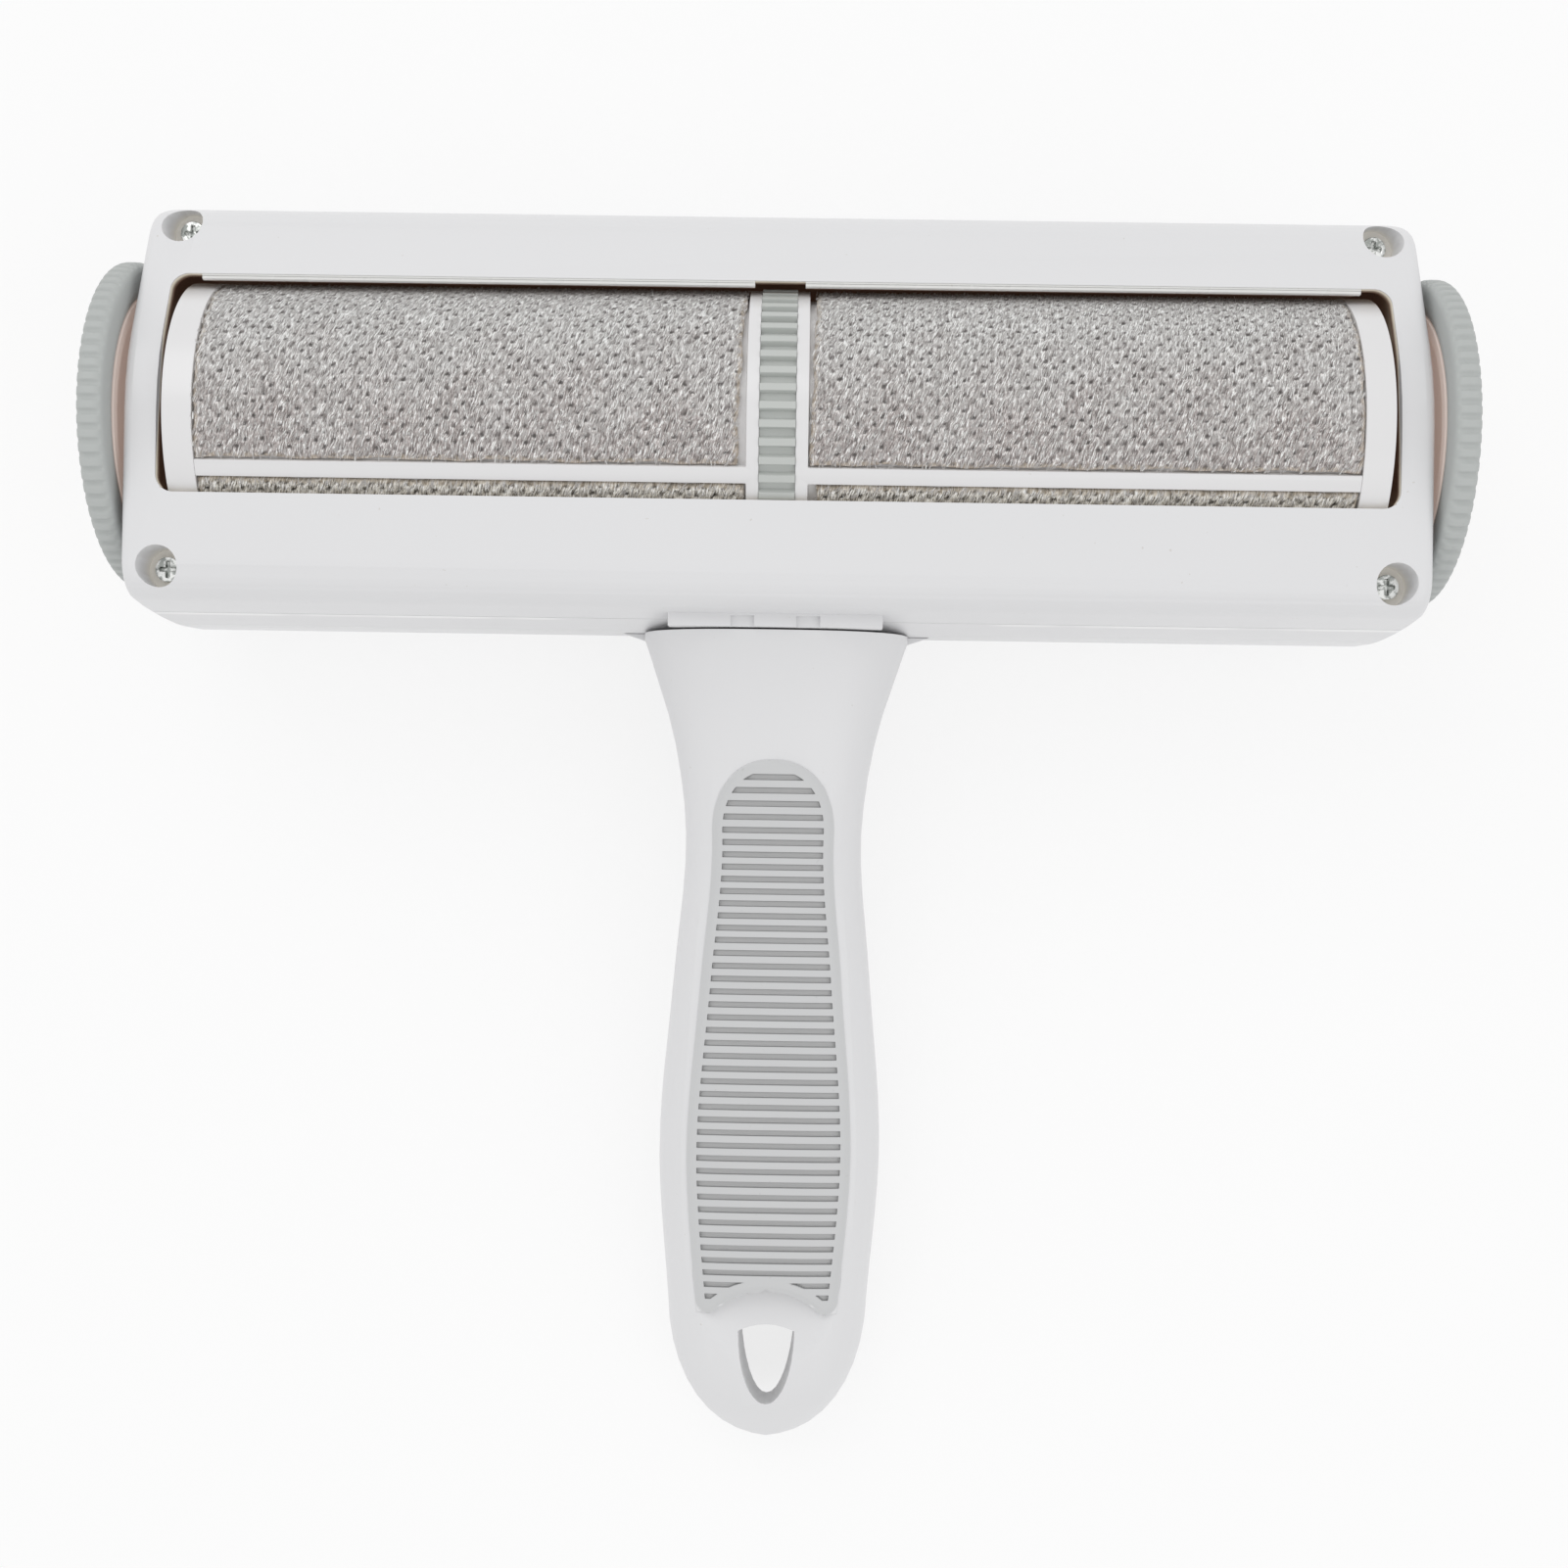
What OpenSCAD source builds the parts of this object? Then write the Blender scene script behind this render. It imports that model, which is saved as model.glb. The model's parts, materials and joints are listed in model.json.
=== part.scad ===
// Reusable pet hair roller, lying on its back with its window up.
// +X runs along the drum, +Y from the handle to the head, +Z out of the window. Millimetres.
// Every module works from the drum axis, and place() sets it over the surface the roller lies on.

/* [Head] */
// Width of the head over its end walls
head_w = 195; // [185:0.5:205]
// Room between the drum and the upper side of the head
top_room = 11.6; // [11.2:0.1:14]
// Room between the drum and the lower side of the head
bottom_room = 8.9; // [8.7:0.1:10]
// Room between the drum and the surface that the roller lies on
under_room = 7.7; // [7.4:0.1:9]
// How far the drum stands out of the front face
drum_proud = 2.7; // [2:0.1:3.2]
// Where the front face starts to slope, above the drum axis
slope_start = 6; // [3:0.5:10]
// Drum axis to the front edge of the upper side
slope_end = 7; // [5:0.5:10]
// Wall thickness of the shells
wall = 2; // [1.6:0.1:2.4]
// Roundover of the end walls' edges
end_round = 1.6; // [0.8:0.1:2]
// Corner radius at the head's upper ends, seen from the front
top_corner_r = 5; // [4:0.5:7]
// Corner radius at the head's lower ends, seen from the front
bottom_corner_r = 6.5; // [4:0.5:7]
// Tilt of the parting plane between the shells
parting_tilt = 15.7; // [12:0.1:18]

/* [Window] */
// Width of the rim at each end of the window
window_side = 5.2; // [4.6:0.1:7]
// How far the window's upper edge stays short of the drum's radius
window_top_in = 0.9; // [0.7:0.1:1.5]
// How far the window's lower edge stays short of the drum's radius
window_bottom_in = 9.5; // [9:0.1:10.5]
// Corner radius of the window
window_r = 2.6; // [1:0.1:4]

/* [Drum] */
// Radius of the end bands, inner bands and ribs
drum_r = 22.3; // [21.8:0.1:22.6]
// Depth of the bed that the fabric lies in
bed_depth = 1.45; // [1.35:0.05:1.8]
// Wall of the drum tubes
tube_wall = 1.8; // [1.2:0.1:2.4]
// Room between the drum's end and the outside of the end wall
drum_side = 6.8; // [6.4:0.1:8]
// Width of an end band
band_w = 4.4; // [4:0.1:7]
// Width of an inner band beside the toothed ring
inner_band_w = 1.9; // [1.4:0.1:3]
// Width of a rib between two fabric panels
rib_w = 2.5; // [1.4:0.1:3]
// How far the visible rib has turned from the front towards the handle
rib_angle = 24.8; // [18:0.2:28]
// Swing of the drum's rib towards the handle, in degrees
swing_down = 15; // [5:1:25]
// Swing of the drum's rib away from the handle, in degrees
swing_up = 85; // [60:1:90]

/* [Fabric] */
// Thickness of the lint fabric
fabric_t = 1.3; // [0.8:0.05:1.4]
// Gap between a left panel and the inner band
left_panel_gap = 0.3; // [0.1:0.1:2]
// Gap between a right panel and the inner band
right_panel_gap = 1.2; // [0.1:0.1:2]

/* [Toothed ring] */
// How far the teeth stand out of the drum
ring_proud = 0.3; // [0:0.1:0.5]
// Width of the ring
ring_w = 5.4; // [4:0.2:7]
// Number of teeth
ring_teeth = 52; // [40:1:60]
// Depth of a tooth
tooth_depth = 1.1; // [0.6:0.1:1.4]
// Length of the spigots that centre the drum tubes
spigot_len = 4; // [3:0.5:6]
// Wall of the spigots
spigot_wall = 1.6; // [1.2:0.1:2]

/* [Wheels] */
// How far the knurled tread stands out of the drum
wheel_proud = 3.05; // [2.5:0.05:4]
// Width of a wheel
wheel_w = 3.9; // [3.6:0.1:5]
// Running gap between a wheel and the end wall
wheel_gap = 1.1; // [0.9:0.1:1.4]
// Thickness of the tyre round its hub
tyre_t = 5.05; // [4:0.05:6]
// Number of ridges round the tread
ridge_count = 72; // [60:1:84]
// Depth of the grooves between the ridges
ridge_depth = 0.35; // [0.2:0.05:0.5]
// Width of the hub rim under the tyre
hub_rim = 1.8; // [1.2:0.1:2.4]
// Thickness of the hub's web
hub_web = 1.5; // [1.2:0.1:2]

/* [Axle and bushes] */
// Radius of the axle
axle_r = 2.5; // [2:0.1:3]
// Wall of a bush
bush_wall = 2; // [1.5:0.1:2.5]
// Thickness of a bush's flange
bush_flange = 0.8; // [0.5:0.1:0.9]
// Wall of the bearing boss round a bush
boss_wall = 3; // [2:0.25:4]
// Head radius of an axle screw
axle_screw_head = 4; // [3.5:0.1:5]

/* [Wipers] */
// Thickness of a wiper
wiper_t = 0.9; // [0.7:0.1:1.1]
// Width of a wiper strip
wiper_w = 7; // [5:0.5:9]
// How far a wiper stays short of the window's end
wiper_side = 4.9; // [2:0.1:8]
// Length of the notch over the toothed ring
notch_len = 7.7; // [7:0.1:9]
// Gap between a wiper and the drum's bands
wiper_gap = 0.7; // [0.3:0.05:0.8]

/* [Handle] */
// Drum axis to the end of the handle
handle_reach = 164.8; // [160:0.2:170]
// Half width where the neck leaves the head
neck_half = 20.3; // [18:0.1:22]
// Half width at the waist
waist_half = 14.2; // [13:0.1:16]
// Half width at the palm
palm_half = 18.2; // [17:0.1:20]
// Half width where the rounded end starts
end_half = 16.6; // [15:0.1:17.5]
// Length of the rounded end
end_len = 24.8; // [20:0.2:28]
// Wall of the handle halves
handle_wall = 2.2; // [1.8:0.1:2.6]
// Squareness of the handle's cross-section, 2 is an ellipse
section_power = 2.7; // [2.2:0.1:3.2]
// Visible gap between the front shell and the handle cover
neck_gap = 0.3; // [0.2:0.05:0.5]

/* [Grip] */
// Rim of the cover beside the grip pad
grip_margin = 5.3; // [4.5:0.1:6.5]
// Lower side of the head to the top of the grip pad
grip_from = 20; // [16:0.5:22]
// Length of the pad's rounded top
grip_arch = 11; // [8:0.5:14]
// How far the pad stands out of the cover
grip_proud = 0.5; // [0.2:0.1:0.8]
// Depth of the pad's seat in the cover
grip_seat = 1.3; // [0.9:0.1:1.5]
// Distance from one groove to the next
groove_pitch = 2.04; // [1.9:0.02:2.1]
// Height of a groove
groove_h = 1; // [0.6:0.1:1.2]
// Depth of a groove
groove_depth = 0.8; // [0.4:0.1:1]
// Smooth rim of the pad round the grooves
groove_rim = 1.5; // [1:0.1:2]

/* [Hang hole] */
// Middle of the hang hole to the end of the handle
hole_in = 15.8; // [15:0.2:18]
// Width of the hang hole
hole_w = 9.2; // [7:0.2:11]
// Length of the hang hole
hole_len = 11.7; // [10:0.2:13]
// How far the hole's tail flares towards the back
hole_flare = 5; // [3:0.5:6]
// Radius of the dish round the hole, which also cuts the grip pad
dish_r = 12.6; // [11:0.1:13]
// Depth of the dish
dish_depth = 0.8; // [0.4:0.1:1.2]

/* [Lid] */
// Room between the lid and the outside of the end wall
lid_side = 17.5; // [14:0.5:25]
// Thickness of the lid
lid_t = 1.8; // [1.4:0.1:2]
// Hinge axis to the upper side of the head
hinge_in = 12.5; // [11.5:0.25:14]
// Lid's free edge to the lower side of the head
lid_in = 15.8; // [15.4:0.1:16.4]
// Gap round the lid
lid_gap = 0.4; // [0.3:0.05:0.6]
// How far the lid lies back from the rim of its opening
lid_recess = 0.5; // [0.3:0.1:0.6]
// Radius of a hinge pin
pin_r = 0.8; // [0.6:0.05:0.9]
// Outer radius of a hinge knuckle
knuckle_r = 1.7; // [1.5:0.05:1.8]
// Length of a lid knuckle
knuckle_len = 14; // [10:0.5:20]
// Length of a housing lug beside a knuckle
lug_len = 4; // [3:0.5:6]
// Middle of a hinge to the end of the lid
hinge_side = 29; // [20:1:50]

/* [Release latch] */
// Half width of the thumb button
button_half = 8; // [6:0.5:9]
// Length of the thumb button
button_len = 12; // [10:0.5:13]
// Thickness of the thumb button
button_t = 2.2; // [1.8:0.1:2.6]
// Travel of the release latch
button_travel = 3; // [2.6:0.1:3.2]
// Half width of the latch arm
arm_half = 3; // [2.5:0.1:4]
// Thickness of the latch arm
arm_t = 1.8; // [1.4:0.1:2]
// Radius of the return spring
spring_r = 1.9; // [1.5:0.1:2.2]
// Radius of the spring wire
spring_wire = 0.25; // [0.2:0.05:0.3]

/* [Shell screws] */
// Radius of a screw recess
recess_r = 3.1; // [2.6:0.1:3.2]
// Wall round a screw recess
recess_wall = 1.3; // [1:0.1:1.6]
// Head radius of a shell screw
screw_head = 1.9; // [1.6:0.1:2.2]
// Head height of a shell screw
screw_head_h = 1.4; // [1:0.1:1.8]
// Shank radius of a shell screw
screw_r = 1.1; // [0.9:0.05:1.25]
// Shank length of a shell screw
screw_len = 16; // [14:0.5:18]
// Distance from the middle to a neck screw
neck_screw_x = 12; // [10:0.5:14]
// Head radius of a neck screw
neck_head = 2.4; // [2:0.1:2.6]
// Shank radius of a neck screw
neck_screw_r = 1.4; // [1.2:0.05:1.5]
// Shank length of a neck screw
neck_screw_len = 12; // [9:0.5:14]
// Depth of the lower recesses under the front face
lower_recess = 7; // [6:0.2:8]
// Depth of the upper recesses under the front edge of the upper side
upper_recess = 5.2; // [4:0.2:7]

/* [Fits] */
// Radial clearance of a shaft that turns in its bore
running = 0.05; // [0.02:0.01:0.1]
// Gap between pieces that slide or sit beside each other
slip = 0.3; // [0.2:0.05:0.4]
// Gap between pieces that are seated in each other
seat = 0.05; // [0.02:0.01:0.1]

/* [Hidden] */
$fn = 96;

// Sizes that follow from the drum and the head
half_w = head_w / 2;
head_top = drum_r + top_room;
head_bottom = drum_r + bottom_room;
axis_height = drum_r + under_room;
face_rise = drum_r - drum_proud;
window_w = head_w - 2 * window_side;
window_top = drum_r - window_top_in;
window_bottom = drum_r - window_bottom_in;
tube_r = drum_r - bed_depth;
ring_r = drum_r + ring_proud;
wheel_r = drum_r + wheel_proud;
tyre_seat_r = wheel_r - tyre_t;
wiper_len = window_w - 2 * wiper_side;
grip_top = head_bottom + grip_from;
hole_reach = handle_reach - hole_in;
hinge_y = head_top - hinge_in;
lid_front = head_bottom - lid_in;
lower_seat = face_rise - lower_recess;
upper_seat = slope_end - upper_recess;
origin_y = (head_top - handle_reach) / 2;
arc_step = 9;
far = 60;

// Clear space that the drum turns in
drum_clear = drum_r + 0.8;
inner_half = half_w - wall;
cap_face = half_w - drum_side;

// Planes across the axle at each end, from the middle outwards
wheel_in = half_w + wheel_gap;
wheel_out = wheel_in + wheel_w;
hub_web_out = wheel_in + hub_web;
bush_r = axle_r + running + bush_wall;
bush_in = cap_face + 0.5;

// Corners of the head's side view: along the head, up out of the window, radius
head_profile = [
    [-head_bottom + 3.4, face_rise, 6],
    [-head_bottom, 0, 30],
    [-head_bottom + 1, -axis_height, 16],
    [head_top, -axis_height, 14],
    [head_top, slope_end, 9],
    [slope_start, face_rise, 30]
];

// Corners of the head seen from the front
head_plan = [
    [-half_w, -head_bottom - 1, bottom_corner_r],
    [half_w, -head_bottom - 1, bottom_corner_r],
    [half_w, head_top, top_corner_r],
    [-half_w, head_top, top_corner_r]
];

// Outlines with rounded corners, and the same outlines moved inwards
function unit(v) = v / norm(v);
function flat(p) = [p[0], p[1]];
function before(list, i) = list[(i + len(list) - 1) % len(list)];
function after(list, i) = list[(i + 1) % len(list)];
function turn(a) = a > 180 ? a - 360 : (a < -180 ? a + 360 : a);
function corner(a, b, c, r) =
    let (u = unit(flat(a) - flat(b)), v = unit(flat(c) - flat(b)), half = acos(u * v) / 2)
    let (centre = flat(b) + unit(u + v) * r / sin(half))
    let (p = flat(b) + u * r / tan(half) - centre, q = flat(b) + v * r / tan(half) - centre)
    let (from = atan2(p[1], p[0]), sweep = turn(atan2(q[1], q[0]) - from))
    let (steps = max(1, ceil(abs(sweep) / arc_step)))
    [for (k = [0:steps]) centre + r * [cos(from + sweep * k / steps), sin(from + sweep * k / steps)]];
function rounded(list) =
    [for (i = [0:len(list) - 1]) each corner(before(list, i), list[i], after(list, i), list[i][2])];
function moved_in(list, t) =
    [for (i = [0:len(list) - 1])
        let (b = flat(list[i]), u = unit(flat(before(list, i)) - b), v = unit(flat(after(list, i)) - b))
        let (inner = b + unit(u + v) * t / sin(acos(u * v) / 2))
        [inner[0], inner[1], max(0.3, list[i][2] - t)]];

// A smooth curve through the points [x, y] of a table, by cubic pieces
function slope(t, i) =
    let (a = max(0, i - 1), b = min(len(t) - 1, i + 1))
    (t[b][1] - t[a][1]) / (t[b][0] - t[a][0]);
function piece(t, x) = max([for (i = [0:len(t) - 2]) x >= t[i][0] || i == 0 ? i : 0]);
function curve(t, x) =
    let (i = piece(t, x), h = t[i + 1][0] - t[i][0], s = (x - t[i][0]) / h)
    (2 * s * s * s - 3 * s * s + 1) * t[i][1] + (s * s * s - 2 * s * s + s) * h * slope(t, i)
    + (3 * s * s - 2 * s * s * s) * t[i + 1][1] + (s * s * s - s * s) * h * slope(t, i + 1);

// Handle: a = distance from the drum axis down the handle
cover_start = head_bottom + 0.1;
end_start = handle_reach - end_len;
neck_rows = [head_bottom, head_bottom + 1];
neck_end = head_bottom + 3;
waist_at = head_bottom + 33.1;
palm_at = head_bottom + 82.8;
width_table = [
    [head_bottom, neck_half + 4.2], [head_bottom + 1, neck_half + 0.7],
    [neck_end, neck_half], [head_bottom + 17, waist_half + 1.9], [waist_at, waist_half],
    [head_bottom + 55, (waist_half + palm_half) / 2 - 0.2], [palm_at, palm_half],
    [end_start, end_half]
];
top_table = [
    [cover_start, 11.2], [neck_end, 9], [head_bottom + 12, 4.8],
    [head_bottom + 32, 0.6], [palm_at - 14, -1.6], [palm_at + 16, -4.6], [handle_reach - 20, -9.4],
    [handle_reach - 8, -14], [handle_reach, -axis_height + 8.2]
];
bottom_table = [
    [head_bottom, -20.2], [head_bottom + 14, -18.4], [head_bottom + 40, -18.8],
    [palm_at, -23.6], [handle_reach - 30, -28.2], [handle_reach - 16, -axis_height],
    [handle_reach - 7, -axis_height + 0.6], [handle_reach, -axis_height + 5.4]
];
parting_near = -4.5;
parting_far = -axis_height + 7.2;
function end_width(a) = end_half * sqrt(max(0.0008, 1 - pow((a - end_start) / end_len, 2)));
function half_width(a) = a > end_start ? end_width(a) : curve(width_table, a);
function parting(a) =
    parting_near + (parting_far - parting_near) * (a - cover_start) / (handle_reach - cover_start);

// A half section of the handle at distance a: side 1 is the front half, side -1 the back half,
// which flares where it meets the head.
// A skirt carries its straight edge past the parting plane, so that a cut runs clean through it.
section_steps = 16;
function rise(a, side) = side > 0 ? curve(top_table, a) - parting(a) : parting(a) - curve(bottom_table, a);
function section(a, side, inset, skirt) =
    let (w = half_width(side > 0 ? max(a, head_bottom + 1) : a) - inset)
    let (h = max(0.25, rise(a, side) - inset), p = 2 / section_power)
    [for (k = [0:section_steps])
        let (t = 180 * k / section_steps, c = cos(t), s = sin(t), edge = k == 0 || k == section_steps)
        let (z = parting(a) + side * (edge ? -skirt : h * pow(max(0, s), p)))
        [w * sign(c) * pow(abs(c), p), -(a > head_bottom ? a : max(butt(z), side * cover_start)), z]];

// Where the handle butts on the head: distance of the head's lower face at height z
side_view = rounded(head_profile);
butt_gap = 0.08;
function butt(z) = butt_gap + max([
    for (i = [0:len(side_view) - 1])
        let (p = side_view[i], q = after(side_view, i))
        if (p[1] != q[1] && (p[1] - z) * (q[1] - z) <= 0)
            -p[0] - (q[0] - p[0]) * (z - p[1]) / (q[1] - p[1])
]);

// Distances of the sections: even along the handle, closer together in the rounded end
body_steps = 22;
end_steps = 10;
function stations(from, to) = [for (k = [0:body_steps]) from + (to - from) * k / body_steps];
function end_stations() =
    [for (k = [1:end_steps]) end_start + end_len * 0.9995 * sin(90 * k / end_steps)];

// Closed solid through the half sections: rows of points joined by quads, and a flat side of quads
module half_loft(rows, side, inset, skirt = 0) {
    points = [for (a = rows) each section(a, side, inset, skirt)];
    n = section_steps + 1;
    last = len(rows) - 1;
    skin = [for (i = [0:last - 1], k = [0:section_steps - 1])
        side > 0
            ? [i * n + k, (i + 1) * n + k, (i + 1) * n + k + 1, i * n + k + 1]
            : [i * n + k + 1, (i + 1) * n + k + 1, (i + 1) * n + k, i * n + k]];
    flat_face = [for (i = [0:last - 1])
        [i * n, i * n + section_steps, (i + 1) * n + section_steps, (i + 1) * n]];
    middle = section_steps / 2;
    start_cap = [for (k = [0:middle - 1])
        k < middle - 1 ? [k, k + 1, n - 2 - k, n - 1 - k] : [k, k + 1, k + 2]];
    end_cap = [for (k = [section_steps:-1:0]) last * n + k];
    function backwards(list) = [for (i = [len(list) - 1:-1:0]) list[i]];
    faces = side > 0
        ? concat(skin, flat_face, start_cap, [end_cap])
        : concat(skin, [for (face = concat(flat_face, start_cap, [end_cap])) backwards(face)]);
    polyhedron(points = points, faces = faces, convexity = 6);
}

// Ways to place and cut
module place() translate([0, -origin_y, axis_height]) children();
module along_x(len) rotate([90, 0, 90]) linear_extrude(height = len, center = true) children();
module round_x(from, to, r) translate([from, 0, 0]) rotate([0, 90, 0]) cylinder(r = r, h = to - from);
module turned(angle, start) rotate([0, 90, 0]) rotate([0, 0, start]) rotate_extrude(angle = angle) children();
module box(low, high) translate(low) cube(high - low);
module both_ends() {
    children();
    mirror([1, 0, 0]) children();
}

// Outer form of the head: the side view carried along the drum, with rolled edges at both ends
module head_slab(reach, t)
    along_x(2 * reach) polygon(rounded(moved_in(head_profile, t)));
module head_solid() {
    intersection() {
        hull() {
            head_slab(half_w - end_round, 0);
            head_slab(half_w - end_round * 0.62, end_round * 0.08);
            head_slab(half_w - end_round * 0.29, end_round * 0.29);
            head_slab(half_w - end_round * 0.08, end_round * 0.62);
            head_slab(half_w, end_round);
        }
        translate([0, 0, -axis_height - 1])
            linear_extrude(height = axis_height + face_rise + 2)
                polygon(rounded(head_plan));
    }
}
module head_cavity() {
    intersection() {
        along_x(2 * inner_half) polygon(rounded(moved_in(head_profile, wall)));
        translate([0, 0, -axis_height])
            linear_extrude(height = axis_height + face_rise)
                polygon(rounded(moved_in(head_plan, wall)));
    }
}
module drum_space() round_x(-cap_face - 0.9, cap_face + 0.9, drum_clear);

// Half spaces in front of and behind the parting plane, which holds the drum axis
module front_space(lift = 0)
    rotate([-parting_tilt, 0, 0]) box([-far * 2, -far, lift], [far * 2, far, far]);
module back_space(drop = 0)
    rotate([-parting_tilt, 0, 0]) box([-far * 2, -far * 1.2, -far], [far * 2, far, -drop]);

// Corner screws: x, y, height of the seat under the head
lower_screw = [half_w - 5.5, -head_bottom + 7.4];
upper_screw = [half_w - 5.2, head_top - 3.9];
screws = [
    [-lower_screw[0], lower_screw[1], lower_seat], [lower_screw[0], lower_screw[1], lower_seat],
    [-upper_screw[0], upper_screw[1], upper_seat], [upper_screw[0], upper_screw[1], upper_seat]
];
module at_screws()
    for (s = screws) translate(s) children();

// Hole through both end walls for the bushes
module bush_bore() both_ends() round_x(bush_in - 1, half_w + 1, bush_r + seat);

// Front shell
tab_half = 16.3;
tab_slot_w = 3.6;
tab_slot_at = 5;
tab_slot_depth = 0.9;
tab_slot_h = 2;
tab_top = 12.6;
module neck_tab() {
    difference() {
        intersection() {
            box([-tab_half, -cover_start + neck_gap, 0], [tab_half, -cover_start + 4, tab_top]);
            front_space();
        }
        for (x = [-tab_slot_at, tab_slot_at])
            box([x - tab_slot_w / 2, -cover_start, tab_top - tab_slot_depth],
                [x + tab_slot_w / 2, -cover_start + tab_slot_h, far]);
    }
}
module front_shell() {
    color([0.93, 0.93, 0.94])
    place()
    difference() {
        union() {
            difference() {
                intersection() {
                    head_solid();
                    front_space();
                }
                head_cavity();
            }
            intersection() {
                head_solid();
                front_space();
                union() {
                    at_screws() translate([0, 0, -far]) cylinder(r = recess_r + recess_wall, h = 2 * far);
                    both_ends() round_x(bush_in, inner_half + 0.5, bush_r + boss_wall);
                }
            }
            neck_tab();
        }
        drum_space();
        bush_bore();
        linear_extrude(height = far)
            polygon(rounded([
                    [-window_w / 2, -window_bottom, window_r], [window_w / 2, -window_bottom, window_r],
                    [window_w / 2, window_top, window_r], [-window_w / 2, window_top, window_r]
                ]));
        at_screws() cylinder(r = recess_r, h = far, $fn = 48);
        at_screws() translate([0, 0, -far]) cylinder(r = screw_r + slip / 2, h = 2 * far, $fn = 32);
    }
}

// Rear housing
stop_low = drum_r - 6.5;
stop_high = drum_r - 2.3;
lug_half = 1.8;
rib_stop_half = 1.4;
stop_gap = asin(lug_half / stop_low) + asin(rib_stop_half / stop_low) + 1;
stop_angles = [180 + swing_down + stop_gap, 180 - swing_up - stop_gap];
module stop_rib(angle)
    rotate([angle, 0, 0])
        box([cap_face + 0.8, -rib_stop_half, stop_low], [inner_half + 0.5, rib_stop_half, stop_high]);
lid_x = half_w - lid_side;
hinge_x = lid_x - hinge_side;
lid_under = -axis_height + lid_recess;
hinge_z = lid_under + lid_t / 2 + 0.5;
rim_y = hinge_y + knuckle_r + slip;
hook_half = 6;
latch_z = -axis_height + 9.2;
button_at = head_bottom + 12;
button_under = curve(bottom_table, button_at) - 0.2;
button_seat = button_under + button_t;
arm_z = button_seat + 2.1;
spring_back = button_at + 11;
spring_z = arm_z - slip + seat + spring_r + spring_wire;
arm_reach = head_bottom - 10.6;
arm_leg = 1.4;
module lid_opening() {
    box([-lid_x - lid_gap, -lid_front - lid_gap, -axis_height - 1],
        [lid_x + lid_gap, rim_y, -axis_height + wall + 1]);
    box([-hook_half - 1, -lid_front - 3.4, -axis_height - 1], [hook_half + 1, 0, -axis_height + wall + 6]);
}
module housing_lug(x)
    translate([x, 0, 0]) {
        round_x_at([-lug_len / 2, hinge_y, hinge_z], lug_len, knuckle_r);
        box([-lug_len / 2, hinge_y, hinge_z - knuckle_r], [lug_len / 2, rim_y + 2, hinge_z + knuckle_r]);
    }
module round_x_at(p, len, r) translate(p) rotate([0, 90, 0]) cylinder(r = r, h = len, $fn = 48);
lug_x = [
    hinge_x - knuckle_len / 2 - slip - lug_len / 2, hinge_x + knuckle_len / 2 + slip + lug_len / 2
];
module button_room()
    box([-button_half - slip, -button_at - button_len / 2 - button_travel - slip, -far],
        [button_half + slip, -button_at + button_len / 2 + slip, button_seat + slip]);
module arm_slot()
    box([-arm_half - slip, -button_at - 3 - button_travel - slip, -far],
        [arm_half + slip, -button_at + 3 + slip, arm_z + arm_t]);
module arm_path()
    box([-arm_half - slip, -button_at - 6, arm_z - slip],
        [arm_half + slip, -head_bottom + wall + 2, arm_z + arm_t + slip]);
// Hanging hole: an arched top, sides that close in a half ellipse, and a tail that flares backwards
hole_arch = 1.1;
function hole_outline(tail) =
    let (shoulder = -hole_reach + hole_len / 2 - hole_arch, half = hole_w / 2)
    concat(
        [for (t = [0:10:180]) [half * cos(t), shoulder - tail * sin(t)]],
        [for (x = [-0.9:0.3:0.9]) [half * x, shoulder + hole_arch * (1 - x * x)]]
    );
module hang_hole() {
    tail = hole_len - hole_arch;
    hull() {
        linear_extrude(height = 1) polygon(hole_outline(tail));
        translate([0, 0, -axis_height - 1])
            linear_extrude(height = 1)
                polygon(hole_outline(tail + hole_flare));
    }
}
pocket_start = head_bottom + 2.5;
pocket_end = hole_reach - dish_r - 1;
neck_screw_z = -8;
module at_neck_screws()
    both_ends()
        translate([neck_screw_x, -head_bottom + wall + 0.4, neck_screw_z])
            rotate([90, 0, 0])
                children();
module lid_ledge() {
    box([lid_x - 2.6, -10, lid_under + lid_t + 0.05], [lid_x + 2.4, 10, lid_under + lid_t + 1.6]);
    box([lid_x + lid_gap, -10, -axis_height + wall - 0.2], [lid_x + 2.4, 10, lid_under + lid_t + 1.6]);
}
module rear_housing() {
    color([0.93, 0.93, 0.94])
    place()
    difference() {
        union() {
            difference() {
                intersection() {
                    head_solid();
                    back_space(0.15);
                }
                head_cavity();
                lid_opening();
            }
            intersection() {
                head_solid();
                back_space(0.15);
                union() {
                    at_screws() translate([0, 0, -far]) cylinder(r = screw_r + 2.2, h = 2 * far, $fn = 48);
                    both_ends() round_x(bush_in, inner_half + 0.5, bush_r + boss_wall);
                    both_ends() for (a = stop_angles) stop_rib(a);
                }
            }
            both_ends() for (x = lug_x) housing_lug(x);
            both_ends() lid_ledge();
        }
        drum_space();
        bush_bore();
        at_screws() translate([0, 0, -screw_len - 1]) cylinder(r = screw_r + running, h = far, $fn = 32);
        both_ends() round_x_at([hinge_x - knuckle_len, hinge_y, hinge_z], 2 * knuckle_len, pin_r + seat);
        arm_path();
        at_neck_screws() translate([0, 0, -1]) cylinder(r = neck_screw_r + slip / 2, h = 6, $fn = 32);
    }
}

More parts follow.
